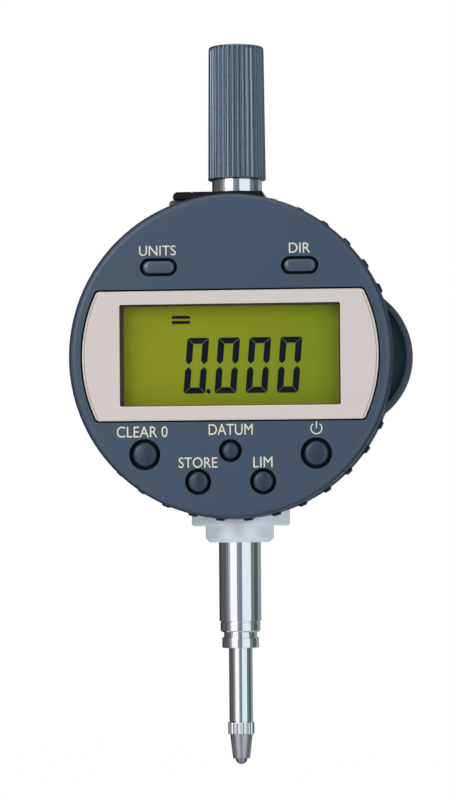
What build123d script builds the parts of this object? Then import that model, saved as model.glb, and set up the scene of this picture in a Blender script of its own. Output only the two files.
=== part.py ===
from build123d import *
from collections import namedtuple
from math import asin, cos, degrees, radians, sin, sqrt, tan
import os

os.makedirs("parts", exist_ok=True)

# Digital indicator with a rotating display.
# +Z runs up the spindle, and z = 0 is the underside of the collar above the clamping stem.
# The display faces -Y. A depth called front is measured from the spindle axis towards the viewer.

# Measuring travel
travel = 12.5
spare_travel = 1.5

# Gaps between pieces
press_gap = 0.02
turn_gap = 0.05
slide_gap = 0.15
spindle_play = 0.03
loose_gap = 0.3

# Spindle and contact point
spindle_d = 4.5
spindle_top_spare = 1.8
spindle_chamfer = 0.4
contact_thread_d = 2.5
contact_thread_length = 5.5
contact_washer_gap = 0.2
contact_collar_d = 5.05
contact_collar_length = 2.2
contact_cone_d = 4.35
contact_cone_end_d = 3.2
contact_cone_length = 4.7
contact_flutes = 20
flute_depth = 0.2
ball_d = 2.3
ball_seat = 0.05

# Clamping stem, bushes and ring nut
stem_d = 8.0
stem_length = 17.1
stem_seat_d = 7.4
stem_socket = 9.0
stem_band = 1.8
stem_band_step = 0.2
groove_width = 0.3
groove_depth = 0.3
stem_chamfer = 0.3
neck_d = 6.3
neck_length = 1.0
bush_wall = 0.55
bush_setback = 0.4
ring_nut_d = 7.0
ring_nut_length = 2.0
ring_nut_lip = 0.9
ring_nut_chamfer = 0.25
upper_bush_d = 7.0
flange_d = 9.5
flange_height = 2.55
spigot_d = 8.6
spigot_length = 5.0

# Fluted cap
cap_length = 25.5
cap_d = 11.0
cap_top_d = 10.5
cap_wall = 1.6
cap_flutes = 33
cap_flute_depth = 0.3
cap_rim = 0.9
cap_dome = 1.3
cap_bore_d = 7.2

# Case
display_height = 34.5
case_r = 24.5
case_front = 6.7
case_back = 8.0
case_wall = 1.8
case_chamfer = 0.6
cavity_rim = 3.9
cavity_top_flat = 2.1
cavity_bottom_flat = 1.1
barrel_r = 9.4
barrel_front = 6.55
barrel_step = 1.5
barrel_fillet = 0.5
collar_d = 13.0
collar_length = 3.1
collar_chamfer = 0.8
hub_inset = 7.5
hub_wall = 2.5
hub_height = 1.5

# Back plate
plate_thickness = 1.5
plate_margin = 1.5
gasket_thickness = 0.3
back_screw_count = 4
back_screw_inset = 1.2

# Port block and top plate
port_left = 9.9
port_right = 4.9
port_front = 4.5
port_back = 7.0
port_height = 4.55
port_y = 1.25
socket_width = 6.4
socket_height = 2.6
socket_depth = 4.6
socket_round = 0.5
socket_back = 1.0
socket_pins = 5
socket_pin_pitch = 1.1
socket_pin_d = 0.44
socket_pin_length = 1.2
port_round = 1.2
cover_thickness = 2.75
cover_plug = 1.6
cover_plug_wall = 0.6
top_plate_thickness = 1.3
top_plate_left = 11.8
top_plate_right = 5.1
top_plate_slant = 0.6
top_plate_overhang = 0.4
top_plate_seam_x = 8.2
top_plate_seam = 0.2

# Carrier, scale and guide inside the case
bumper_d = 9.0
bumper_thickness = 1.0
carrier_width = 11.0
carrier_height = 20.0
carrier_front = 3.0
carrier_back = 4.0
carrier_screw_d = 1.8
scale_width = 5.0
scale_length = 23.0
scale_thickness = 0.6
guide_pin_d = 2.0
guide_pin_height = 9.0
rail_inset = 8.1
rail_width = 2.0
rail_end_gap = 1.05
rail_back = 3.5
spring_x = 9.5
spring_d = 3.0
spring_wire = 0.5
spring_coils = 9
spring_pin_d = 1.6
spring_pin_rise = 3.4
spring_arm_z = 17.5
board_thickness = 0.8
detector_width = 17.0
detector_height = 21.0
chip_size = 6.0
chip_thickness = 0.35

# Rotating display bearing
glide_thickness = 0.5
retaining_thickness = 0.7
retaining_overlap = 2.0
retaining_screw_count = 3
axial_play = 0.1
turn_limit = 160.0
stop_ring_gap = 3.4
stop_pin_d = 1.4
stop_groove_width = 1.8
stop_groove_depth = 1.3
stop_engagement = 1.0
flex_thickness = 0.25
flex_width = 1.2
flex_inner_r = 6.2
flex_outer_gap = 1.9
flex_turns = 4
flex_tail = 4.0
flex_riser = 2.4

# Display housing
face_front = 19.5
housing_r = 30.0
housing_wall = 1.6
face_thickness = 2.0
housing_fillet = 2.2
ring_step = 0.1
ring_front = 13.2
ring_back = 7.6
ring_lip = 1.4
ring_lip_height = 1.0
rib_count = 36
rib_height = 0.4
rib_base = 1.75
rib_tip = 1.1
rib_margin = 0.4
back_cover_thickness = 1.8

# Window and readout
frame_margin = 2.6
frame_height = 23.9
frame_rise = 0.15
frame_corner = 0.9
frame_thickness = 1.0
frame_gap = 0.3
window_side = 7.0
window_height = 18.8
window_rise = 0.25
window_corner = 0.3
lens_margin = 1.2
lcd_depth = 3.6
lcd_thickness = 1.1
lcd_side_lip = 0.4
lcd_top_lip = 0.2
lcd_frame_margin = 3.1
lcd_glass_margin = 1.5
connector_width = 1.2

# Boards, screws and keypad inside the display
main_board_front = 14.4
boss_inset = 3.4
boss_d = 3.6
display_screw_d = 1.6
display_screw_depth = 2.0
screw_head_d = 2.8
screw_head_height = 0.8
small_screw_d = 1.2
small_head_d = 2.2
small_head_height = 0.45
key_travel = 0.4
key_rise = 0.45
key_round = 0.9
key_flange = 0.5
key_flange_thickness = 0.7
key_plunger_d = 1.8
moat_depth = 1.2
mat_front = 15.8
mat_thickness = 0.5
mat_margin = 1.6
mat_rim = 0.8
mat_pad_length = 0.35
dome_d = 3.6
dome_height = 0.3
processor_size = 7.0
processor_thickness = 1.0
processor_x = 12.0

# Keys: place from the display's centre, outline and the width of the moat round each
Key = namedtuple("Key", "name x z wide tall moat")
keys = [
    Key("key_unit", -13.05, 16.5, 5.9, 2.35, 0.5),
    Key("key_sign", 13.05, 16.5, 5.9, 2.35, 0.5),
    Key("key_zero", -15.85, -18.05, 4.6, 4.6, 0.6),
    Key("key_reference", 0.0, -17.45, 3.05, 3.05, 0.6),
    Key("key_power", 15.85, -18.05, 4.6, 4.6, 0.6),
    Key("key_mode", -6.0, -23.15, 3.75, 3.75, 0.55),
    Key("key_limit", 6.0, -23.15, 3.75, 3.75, 0.55),
]

# Cell tray with its finger crescent
cell_d = 20.0
cell_thickness = 3.2
cell_gap = 0.1
tray_wall = 0.7
tray_floor = 0.7
tray_depth = 3.0
tray_clearance = 0.1
door_half_width = 11.2
door_wall = 1.5
door_gap = 0.1
bulge_reach = 3.3
bulge_r = 13.4
bulge_wall = 1.05
bulge_floor = 1.0
bulge_round = 0.35
rail_height_gap = 0.1
tray_rail_width = 1.2
contact_strip_width = 2.4
contact_strip_thickness = 0.2
contact_finger_reach = 8.0

# Levels and radii that follow from the sizes above
spindle_r = spindle_d / 2
bush_bore_r = spindle_r + spindle_play
lower_bush_r = bush_bore_r + bush_wall
stem_r = stem_d / 2
stem_end = -stem_length
neck_end = stem_end - neck_length
nut_end = neck_end - ring_nut_length
spindle_end = nut_end - travel - spare_travel
cavity_r = case_r - cavity_rim
cavity_up = cavity_r - cavity_top_flat
cavity_down = cavity_r - cavity_bottom_flat
rail_x = cavity_r - rail_inset
cavity_floor = display_height - cavity_down
cavity_roof = display_height + cavity_up
barrel_top = display_height + case_r + barrel_step
barrel_y = barrel_r - barrel_front
port_top = barrel_top + port_height
plate_top = port_top + top_plate_thickness
flange_top = plate_top + flange_height
spigot_top = flange_top + spigot_length
cap_top = flange_top + cap_length
spindle_top = spigot_top + spindle_top_spare
inner_front = case_front - case_wall
hub_r = case_r - hub_inset
frame_r = housing_r - frame_margin
window_width = 2 * (frame_r - window_side)
plate_r = case_r - plate_margin
plate_inside = -(case_back - plate_thickness)
hub_front = case_front + hub_height
display_rear = case_front + glide_thickness
display_inside = display_rear + back_cover_thickness
retaining_front = hub_front + retaining_thickness
retaining_r = hub_r + retaining_overlap
stop_ring_r = retaining_r + stop_ring_gap
housing_bore_r = housing_r - housing_wall
boss_ring_r = housing_bore_r - boss_inset
ring_r = housing_r + ring_step
bulge_x = ring_r + bulge_reach - bulge_r
back_cover_r = housing_bore_r - tray_clearance
tray_bottom = display_inside + tray_clearance
cell_bottom = tray_bottom + tray_floor + tray_clearance / 2
cell_front = cell_bottom + cell_thickness
main_board_back = main_board_front - board_thickness
face_inside = face_front - face_thickness
frame_back = face_front - frame_thickness
lcd_front = face_front - lcd_depth
lcd_back = lcd_front - lcd_thickness
boss_angles = [60, 120, 270]
key_flange_back = face_inside - key_flange_thickness
plunger_end = mat_front + key_travel + slide_gap


def face_plane(front):
    """Plane parallel to the face at a depth in front of the spindle axis, centred on the display."""
    return Plane(origin=(0, -front, display_height), x_dir=(1, 0, 0), z_dir=(0, -1, 0))


def key_outline(key, grow, mode=Mode.ADD):
    """Outline of one key, grown all round, in the sketch at hand."""
    with Locations((key.x, key.z)):
        if key.wide > key.tall:
            SlotOverall(key.wide + 2 * grow, key.tall + 2 * grow, mode=mode)
        else:
            Circle(key.tall / 2 + grow, mode=mode)


def countersunk(plane, places, head_d, head_height, shaft_d, length):
    """Countersunk screws with a hexagon socket, heads flush with the plane and shafts behind it."""
    with BuildPart() as screws:
        with Locations(*[plane * Pos(x, y, -head_height / 2) for x, y in places]):
            Cone(shaft_d / 2, head_d / 2, head_height)
        with Locations(*[plane * Pos(x, y, -(length + head_height) / 2) for x, y in places]):
            Cylinder(shaft_d / 2, length - head_height)
        with BuildSketch(plane):
            with Locations(*places):
                RegularPolygon(shaft_d * 0.4, 6)
        extrude(amount=-head_height * 0.75, mode=Mode.SUBTRACT)
    return screws


# Case casting
back_screw_r = (cavity_r + plate_r) / 2
retaining_screw_r = hub_r - hub_wall / 2
stop_gap_angle = 180 - turn_limit - degrees(asin(stop_pin_d / 2 / stop_ring_r)) - 0.5
stop_groove_r = stop_ring_r + stop_groove_width / 2
flex_pitch = (hub_r - hub_wall - flex_outer_gap - flex_inner_r) / flex_turns
flex_slot_z = flex_inner_r + flex_turns * flex_pitch

with BuildPart() as case_casting:
    # Round drum behind the display
    with BuildSketch(face_plane(-case_back)):
        Circle(case_r)
    extrude(amount=case_back + case_front)
    chamfer(case_casting.edges().filter_by(GeomType.CIRCLE), case_chamfer)
    # Barrel round the spindle, flat at the back
    with BuildSketch(Plane.XY.offset(collar_length)):
        with Locations((0, barrel_y)):
            Circle(barrel_r)
        with Locations((0, case_back)):
            Rectangle(3 * barrel_r, 2 * barrel_r, align=(Align.CENTER, Align.MIN), mode=Mode.SUBTRACT)
    extrude(amount=barrel_top - collar_length)
    fillet(case_casting.edges().group_by(Axis.Z)[0], barrel_fillet)
    # Collar above the stem, running up into the barrel
    with BuildSketch():
        Circle(collar_d / 2)
    extrude(amount=collar_length + 2 * barrel_fillet)
    chamfer(case_casting.edges().group_by(Axis.Z)[0], collar_chamfer)
    # Cavity, open at the back, with a step for the plate and its gasket
    with BuildSketch(face_plane(-case_back)):
        Circle(cavity_r)
        with Locations((0, (cavity_up - cavity_down) / 2)):
            Rectangle(2 * cavity_r, cavity_up + cavity_down, mode=Mode.INTERSECT)
    extrude(amount=case_back + inner_front, mode=Mode.SUBTRACT)
    with BuildSketch(face_plane(-case_back)):
        Circle(plate_r + turn_gap)
    extrude(amount=plate_thickness + gasket_thickness, mode=Mode.SUBTRACT)
    with BuildSketch(face_plane(plate_inside)):
        with PolarLocations(back_screw_r, back_screw_count, 45):
            Circle(small_screw_d / 2 + press_gap)
    extrude(amount=back_screw_inset + gasket_thickness + small_screw_d, mode=Mode.SUBTRACT)
    # Holes for the stem and both bushes
    with BuildSketch():
        Circle(stem_seat_d / 2 + press_gap)
    extrude(amount=stem_socket + press_gap, mode=Mode.SUBTRACT)
    with BuildSketch():
        Circle(lower_bush_r + press_gap)
    extrude(amount=cavity_floor + loose_gap, mode=Mode.SUBTRACT)
    with BuildSketch(Plane.XY.offset(barrel_top)):
        Circle(upper_bush_d / 2 + press_gap)
    extrude(amount=cavity_roof - barrel_top - loose_gap, mode=Mode.SUBTRACT)
    # Hub that the display turns on
    with BuildSketch(face_plane(case_front)):
        Circle(hub_r)
        Circle(hub_r - hub_wall, mode=Mode.SUBTRACT)
    extrude(amount=hub_height)
    with BuildSketch(face_plane(hub_front)):
        with PolarLocations(retaining_screw_r, retaining_screw_count, 90):
            Circle(small_screw_d / 2 + press_gap)
    extrude(amount=-hub_height - case_wall / 2, mode=Mode.SUBTRACT)
    # Arc groove for the display's stop pin, with a land left at the bottom
    with BuildSketch(face_plane(case_front)):
        Circle(stop_groove_r)
        Circle(stop_groove_r - stop_groove_width, mode=Mode.SUBTRACT)
        land = 2 * stop_ring_r * tan(radians(stop_gap_angle))
        Polygon(
            (0, 0), (-land, -2 * stop_ring_r), (land, -2 * stop_ring_r), align=None, mode=Mode.SUBTRACT
        )
    extrude(amount=-stop_groove_depth, mode=Mode.SUBTRACT)
    # Slot for the ribbon cable
    with BuildSketch(face_plane(case_front)):
        with Locations((0, flex_slot_z)):
            Rectangle(flex_tail + 2 * loose_gap, flex_thickness + 2 * loose_gap)
    extrude(amount=-case_wall, mode=Mode.SUBTRACT)
case_casting.part.label = "case_casting"
export_step(case_casting.part, "parts/case_casting.step")

# Clamping stem
band_r = stem_r - stem_band_step
groove_top = stem_end + stem_band + groove_width

with BuildPart() as stem:
    with BuildSketch(Plane.XZ):
        with BuildLine():
            Polyline(
                (lower_bush_r + press_gap, stem_socket),
                (stem_seat_d / 2, stem_socket),
                (stem_seat_d / 2, 0),
                (stem_r, 0),
                (stem_r, groove_top),
                (stem_r - groove_depth, groove_top),
                (stem_r - groove_depth, groove_top - groove_width),
                (band_r, groove_top - groove_width),
                (band_r, stem_end + stem_chamfer),
                (band_r - stem_chamfer, stem_end),
                (neck_d / 2, stem_end),
                (neck_d / 2, neck_end),
                (lower_bush_r + press_gap, neck_end),
                close=True,
            )
        make_face()
    revolve(axis=Axis.Z)
stem.part.label = "stem"
export_step(stem.part, "parts/stem.step")

# Lower bush
with BuildPart() as lower_bush:
    with BuildSketch(Plane.XY.offset(neck_end + bush_setback)):
        Circle(lower_bush_r)
        Circle(bush_bore_r, mode=Mode.SUBTRACT)
    extrude(amount=cavity_floor - neck_end - bush_setback)
lower_bush.part.label = "lower_bush"
export_step(lower_bush.part, "parts/lower_bush.step")

# Ring nut with its felt wiper
wiper_r = lower_bush_r

with BuildPart() as ring_nut:
    with BuildSketch(Plane.XY.offset(nut_end)):
        Circle(ring_nut_d / 2)
        Circle(bush_bore_r + loose_gap, mode=Mode.SUBTRACT)
    extrude(amount=ring_nut_length)
    outer_edges = ring_nut.edges().filter_by(GeomType.CIRCLE).group_by(SortBy.RADIUS)[-1]
    chamfer(outer_edges, ring_nut_chamfer)
    with BuildSketch(Plane.XY.offset(neck_end)):
        Circle(wiper_r + press_gap)
    extrude(amount=ring_nut_lip - ring_nut_length, mode=Mode.SUBTRACT)
ring_nut.part.label = "ring_nut"
export_step(ring_nut.part, "parts/ring_nut.step")

with BuildPart() as dust_wiper:
    with BuildSketch(Plane.XY.offset(nut_end + ring_nut_lip)):
        Circle(wiper_r)
        Circle(spindle_r + turn_gap, mode=Mode.SUBTRACT)
    extrude(amount=ring_nut_length - ring_nut_lip)
dust_wiper.part.label = "dust_wiper"
export_step(dust_wiper.part, "parts/dust_wiper.step")

# Upper bush with its flange and the spigot that carries the cap
with BuildPart() as upper_bush:
    with BuildSketch(Plane.XY.offset(cavity_roof)):
        Circle(upper_bush_d / 2)
    extrude(amount=plate_top - cavity_roof)
    with BuildSketch(Plane.XY.offset(plate_top)):
        Circle(flange_d / 2)
    extrude(amount=flange_height)
    with BuildSketch(Plane.XY.offset(flange_top)):
        Circle(spigot_d / 2)
    extrude(amount=spigot_length)
    chamfer(upper_bush.edges().group_by(Axis.Z)[-1], spindle_chamfer)
    with BuildSketch(Plane.XY.offset(cavity_roof)):
        Circle(bush_bore_r)
    extrude(amount=spigot_top - cavity_roof, mode=Mode.SUBTRACT)
upper_bush.part.label = "upper_bush"
export_step(upper_bush.part, "parts/upper_bush.step")

# Port block on top of the case, its socket facing left
port_length = port_left + port_right
port_mid_x = (port_right - port_left) / 2
port_mid_y = (port_back - port_front) / 2
socket_z = barrel_top + port_height / 2
socket_end = socket_depth - port_left

with BuildPart() as port_housing:
    with BuildSketch(Plane.XY.offset(barrel_top)):
        with Locations((port_mid_x, port_mid_y)):
            RectangleRounded(port_length, port_front + port_back, port_round)
        Circle(upper_bush_d / 2 + press_gap, mode=Mode.SUBTRACT)
    extrude(amount=port_height)
    with BuildSketch(Plane.YZ.offset(-port_left)):
        with Locations((port_y, socket_z)):
            RectangleRounded(socket_width, socket_height, socket_round)
    extrude(amount=socket_depth, mode=Mode.SUBTRACT)
port_housing.part.label = "port_housing"
export_step(port_housing.part, "parts/port_housing.step")

# Contact block at the end of the socket
with BuildPart() as data_socket:
    with BuildSketch(Plane.YZ.offset(socket_end - socket_back)):
        with Locations((port_y, socket_z)):
            RectangleRounded(socket_width - 2 * press_gap, socket_height - 2 * press_gap, socket_round)
    extrude(amount=socket_back)
    with BuildSketch(Plane.YZ.offset(socket_end - socket_back)):
        with GridLocations(socket_pin_pitch, 1, socket_pins, 1):
            with Locations((port_y, socket_z)):
                Circle(socket_pin_d / 2)
    extrude(amount=-socket_pin_length)
data_socket.part.label = "data_socket"
export_step(data_socket.part, "parts/data_socket.step")

# Black plate over the port block, its right end slanted
with BuildPart() as top_plate:
    with BuildSketch(Plane.XZ.offset(port_front + top_plate_overhang)):
        with BuildLine():
            Polyline(
                (-top_plate_left, port_top),
                (top_plate_right + top_plate_slant, port_top),
                (top_plate_right, plate_top),
                (-top_plate_left, plate_top),
                close=True,
            )
        make_face()
    extrude(amount=-(port_front + port_back + 2 * top_plate_overhang))
    fillet(top_plate.edges().filter_by(Axis.Y).group_by(Axis.X)[0].sort_by(Axis.Z)[-1], 0.9)
    with BuildSketch(Plane.XY.offset(plate_top)):
        Circle(upper_bush_d / 2 + press_gap)
    extrude(amount=-top_plate_thickness, mode=Mode.SUBTRACT)
    # Seam line across the plate
    with BuildSketch(Plane.XY.offset(plate_top)):
        with Locations((-top_plate_seam_x, port_mid_y)):
            Rectangle(top_plate_seam, 2 * (port_front + port_back))
    extrude(amount=-top_plate_seam, mode=Mode.SUBTRACT)
top_plate.part.label = "top_plate"
export_step(top_plate.part, "parts/top_plate.step")

# Rubber cover that plugs into the socket
with BuildPart() as port_cover:
    with BuildSketch(Plane.YZ.offset(-port_left - turn_gap)):
        with Locations((port_y, socket_z)):
            RectangleRounded(port_front + port_back - 1.0, port_height - 2 * turn_gap, 1.0)
    extrude(amount=-cover_thickness)
    fillet(port_cover.faces().sort_by(Axis.X)[0].edges(), 0.8)
    with BuildSketch(Plane.YZ.offset(-port_left - turn_gap)):
        with Locations((port_y, socket_z)):
            RectangleRounded(socket_width - 2 * slide_gap, socket_height - 2 * slide_gap, 0.4)
            Rectangle(
                socket_width - 2 * slide_gap - 2 * cover_plug_wall,
                socket_height - 2 * slide_gap - 2 * cover_plug_wall,
                mode=Mode.SUBTRACT,
            )
    extrude(amount=cover_plug)
port_cover.part.label = "port_cover"
export_step(port_cover.part, "parts/port_cover.step")

# Back plate, gasket and screws
back_screw_side = back_screw_r * cos(radians(45))
back_screw_places = [(x * back_screw_side, z * back_screw_side) for x in (-1, 1) for z in (-1, 1)]
back_screw_plane = Plane(origin=(0, case_back, display_height), x_dir=(-1, 0, 0), z_dir=(0, 1, 0))

with BuildPart() as back_plate:
    with BuildSketch(face_plane(-case_back)):
        Circle(plate_r)
    extrude(amount=plate_thickness)
    chamfer(back_plate.edges().group_by(Axis.Y)[-1], small_head_height / 2)
    with BuildSketch(face_plane(-case_back)):
        with PolarLocations(back_screw_r, back_screw_count, 45):
            Circle(small_screw_d / 2 + slide_gap)
    extrude(amount=plate_thickness, mode=Mode.SUBTRACT)
    with Locations(*[back_screw_plane * Pos(x, z, -small_head_height / 2) for x, z in back_screw_places]):
        Cone(
            small_screw_d / 2 + press_gap,
            small_head_d / 2 + press_gap,
            small_head_height,
            mode=Mode.SUBTRACT,
        )
back_plate.part.label = "back_plate"
export_step(back_plate.part, "parts/back_plate.step")

with BuildPart() as back_gasket:
    with BuildSketch(face_plane(plate_inside)):
        Circle(plate_r)
        Circle(cavity_r + loose_gap, mode=Mode.SUBTRACT)
        with PolarLocations(back_screw_r, back_screw_count, 45):
            Circle(small_screw_d / 2 + slide_gap, mode=Mode.SUBTRACT)
    extrude(amount=gasket_thickness)
back_gasket.part.label = "back_gasket"
export_step(back_gasket.part, "parts/back_gasket.step")

back_screws = countersunk(
    back_screw_plane, back_screw_places, small_head_d, small_head_height, small_screw_d,
    plate_thickness + gasket_thickness + back_screw_inset,
)
back_screws.part.label = "back_screws"
export_step(back_screws.part, "parts/back_screws.step")

# Soft stop under the carrier
carrier_bottom = cavity_floor + bumper_thickness + turn_gap

with BuildPart() as stop_bumper:
    with BuildSketch(Plane.XY.offset(cavity_floor)):
        Circle(bumper_d / 2)
        Circle(bush_bore_r + loose_gap, mode=Mode.SUBTRACT)
    extrude(amount=bumper_thickness)
stop_bumper.part.label = "stop_bumper"
export_step(stop_bumper.part, "parts/stop_bumper.step")

# Slotted rail that keeps the spindle from turning
guide_pin_z = carrier_bottom + guide_pin_height
slot_length = travel + guide_pin_d + 2 * loose_gap
rail_length = 2 * (sqrt(cavity_r**2 - (rail_x + rail_width / 2) ** 2) - rail_end_gap)

with BuildPart() as guide_rail:
    with BuildSketch(Plane.YZ.offset(-rail_x - rail_width / 2)):
        with Locations(((rail_back - inner_front) / 2, display_height)):
            Rectangle(rail_back + inner_front, rail_length)
        with Locations((0, guide_pin_z + travel / 2)):
            SlotOverall(slot_length, guide_pin_d + 2 * turn_gap, rotation=90, mode=Mode.SUBTRACT)
    extrude(amount=rail_width)
guide_rail.part.label = "guide_rail"
export_step(guide_rail.part, "parts/guide_rail.step")

# Reading head: board on the front wall and the sensor facing the scale
detector_top = flex_slot_z - flex_thickness / 2 - 2 * loose_gap
detector_mid_x = -0.6

with BuildPart() as detector_board:
    with BuildSketch(face_plane(inner_front)):
        with Locations((detector_mid_x, detector_top - detector_height / 2)):
            RectangleRounded(detector_width, detector_height, 1.0)
    extrude(amount=-board_thickness)
detector_board.part.label = "detector_board"
export_step(detector_board.part, "parts/detector_board.step")

with BuildPart() as sensor_chip:
    with BuildSketch(face_plane(inner_front - board_thickness)):
        with Locations((0, detector_top - detector_height + chip_size)):
            Rectangle(chip_size, chip_size)
    extrude(amount=-chip_thickness)
sensor_chip.part.label = "sensor_chip"
export_step(sensor_chip.part, "parts/sensor_chip.step")

# Spring between a post in the case and the carrier's arm
spring_arm_bottom = carrier_bottom + spring_arm_z
spring_pin_r = spring_pin_d / 2
spring_pin_z = cavity_floor + spring_pin_rise + spring_pin_r
spring_eye_r = spring_pin_r + turn_gap + spring_wire
spring_bottom = spring_pin_z + spring_eye_r - spring_wire / 2

with BuildPart() as spring_post:
    with BuildSketch(Plane.XZ.offset(inner_front)):
        with Locations((spring_x, spring_pin_z)):
            Circle(spring_pin_r)
    extrude(amount=-(inner_front + spring_pin_d))
spring_post.part.label = "spring_post"
export_step(spring_post.part, "parts/spring_post.step")

coil_pitch = (spring_arm_bottom - spring_bottom) / spring_coils
coil_inner_r = spring_d / 2 - spring_wire
coil_outline = [(coil_inner_r, spring_arm_bottom), (coil_inner_r, spring_bottom)]
for coil in range(spring_coils):
    coil_z = spring_bottom + coil * coil_pitch
    coil_outline += [
        (spring_d / 2 - spring_wire / 2, coil_z),
        (spring_d / 2, coil_z + coil_pitch * 0.3),
        (spring_d / 2, coil_z + coil_pitch * 0.7),
    ]
coil_outline.append((spring_d / 2 - spring_wire / 2, spring_arm_bottom))

with BuildPart() as return_spring:
    with BuildSketch(Plane.XZ):
        with Locations((spring_x, 0)):
            Polygon(*coil_outline, align=None)
    revolve(axis=Axis((spring_x, 0, 0), (0, 0, 1)))
    # Eye round the post
    with BuildSketch(Plane.XZ.offset(spring_wire / 2)):
        with Locations((spring_x, spring_pin_z)):
            Circle(spring_eye_r)
            Circle(spring_pin_r + turn_gap, mode=Mode.SUBTRACT)
    extrude(amount=-spring_wire)
    # Last half turn, bent across the coil down to the eye
    with Locations((spring_x, 0, spring_bottom + spring_wire / 2)):
        Box(spring_d - spring_wire, spring_wire, spring_wire)
return_spring.part.label = "return_spring"
export_step(return_spring.part, "parts/return_spring.step")

# Ribbon cable: a flat coil in the hub, then a tail through the slot to the detector board
flex_back = case_front + turn_gap

with BuildPart() as flex_cable:
    with BuildSketch(face_plane(flex_back)):
        with BuildLine():
            for turn in range(flex_turns):
                turn_r = flex_inner_r + turn * flex_pitch
                CenterArc((0, -flex_pitch / 4), turn_r + flex_pitch / 4, 90, 180)
                CenterArc((0, flex_pitch / 4), turn_r + flex_pitch * 3 / 4, 270, 180)
        trace(line_width=flex_thickness)
    extrude(amount=flex_width)
    # Inner end, rising to the main board
    with BuildSketch(face_plane(flex_back)):
        with Locations((0, flex_inner_r)):
            Rectangle(flex_riser, flex_thickness)
    extrude(amount=main_board_back - turn_gap - flex_back)
    # Outer end, down through the slot and along the detector board
    with BuildSketch(face_plane(flex_back + flex_width)):
        with Locations((0, flex_slot_z)):
            Rectangle(flex_tail, flex_thickness)
    tail_depth = inner_front - board_thickness - flex_thickness
    extrude(amount=tail_depth - flex_back - flex_width)
    with BuildSketch(face_plane(tail_depth)):
        with Locations((0, flex_slot_z + flex_thickness / 2)):
            Rectangle(flex_tail, flex_tail, align=(Align.CENTER, Align.MAX))
    extrude(amount=flex_thickness)
flex_cable.part.label = "flex_cable"
export_step(flex_cable.part, "parts/flex_cable.step")

# Bearing of the display: glide ring, retaining ring and its screws
with BuildPart() as glide_ring:
    with BuildSketch(face_plane(case_front)):
        Circle(retaining_r)
        Circle(hub_r + turn_gap, mode=Mode.SUBTRACT)
    extrude(amount=glide_thickness)
glide_ring.part.label = "glide_ring"
export_step(glide_ring.part, "parts/glide_ring.step")

retaining_places = [
    (retaining_screw_r * cos(radians(angle)), retaining_screw_r * sin(radians(angle)))
    for angle in (90, 210, 330)
]

with BuildPart() as retaining_ring:
    with BuildSketch(face_plane(hub_front)):
        Circle(retaining_r)
        Circle(hub_r - hub_wall, mode=Mode.SUBTRACT)
        with Locations(*retaining_places):
            Circle(small_screw_d / 2 + press_gap, mode=Mode.SUBTRACT)
    extrude(amount=retaining_thickness)
    head_level = face_plane(retaining_front - small_head_height / 2)
    with Locations(*[head_level * Pos(x, y) for x, y in retaining_places]):
        Cone(
            small_screw_d / 2 + press_gap,
            small_head_d / 2 + press_gap,
            small_head_height,
            mode=Mode.SUBTRACT,
        )
retaining_ring.part.label = "retaining_ring"
export_step(retaining_ring.part, "parts/retaining_ring.step")

retaining_screws = countersunk(
    face_plane(retaining_front), retaining_places, small_head_d, small_head_height, small_screw_d,
    retaining_thickness + hub_height,
)
retaining_screws.part.label = "retaining_screws"
export_step(retaining_screws.part, "parts/retaining_screws.step")

# Spindle
with BuildPart() as spindle_rod:
    with BuildSketch(Plane.XY.offset(spindle_end)):
        Circle(spindle_r)
    extrude(amount=spindle_top - spindle_end)
    chamfer(spindle_rod.edges().group_by(Axis.Z)[-1], spindle_chamfer)
    with BuildSketch(Plane.XY.offset(spindle_end)):
        Circle(contact_thread_d / 2)
    extrude(amount=contact_thread_length + loose_gap, mode=Mode.SUBTRACT)
spindle_rod.part.label = "spindle_rod"
export_step(spindle_rod.part, "parts/spindle_rod.step")

# Contact point and its ball
contact_top = spindle_end - contact_washer_gap
contact_shoulder = contact_top - contact_collar_length
contact_end = contact_shoulder - contact_cone_length
ball_z = contact_end + ball_seat

with BuildPart() as contact_point:
    with BuildSketch(Plane.XZ):
        with BuildLine():
            Polyline(
                (0, spindle_end + contact_thread_length),
                (contact_thread_d / 2 - press_gap, spindle_end + contact_thread_length),
                (contact_thread_d / 2 - press_gap, spindle_end),
                (contact_cone_d / 2, spindle_end),
                (contact_cone_d / 2, contact_top),
                (contact_collar_d / 2, contact_top),
                (contact_collar_d / 2, contact_shoulder),
                (contact_cone_d / 2, contact_shoulder),
                (contact_cone_end_d / 2, contact_end),
                (0, contact_end),
                close=True,
            )
        make_face()
    revolve(axis=Axis.Z)
    with BuildSketch(Plane.XY.offset(contact_shoulder)):
        with PolarLocations(contact_collar_d / 2, contact_flutes):
            RegularPolygon(flute_depth, 4)
    extrude(amount=contact_collar_length, mode=Mode.SUBTRACT)
    with Locations((0, 0, ball_z)):
        Sphere(ball_d / 2 + press_gap / 2, mode=Mode.SUBTRACT)
contact_point.part.label = "contact_point"
export_step(contact_point.part, "parts/contact_point.step")

with BuildPart() as contact_ball:
    with Locations((0, 0, ball_z)):
        Sphere(ball_d / 2)
contact_ball.part.label = "contact_ball"
export_step(contact_ball.part, "parts/contact_ball.step")

# Carrier clamped to the spindle, with the scale, the guide pin and the spring's arm
carrier_mid = carrier_bottom + carrier_height / 2
arm_end = spring_x + spring_d / 2
pin_seat = carrier_width / 2 - spindle_r - 1.0

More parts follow.
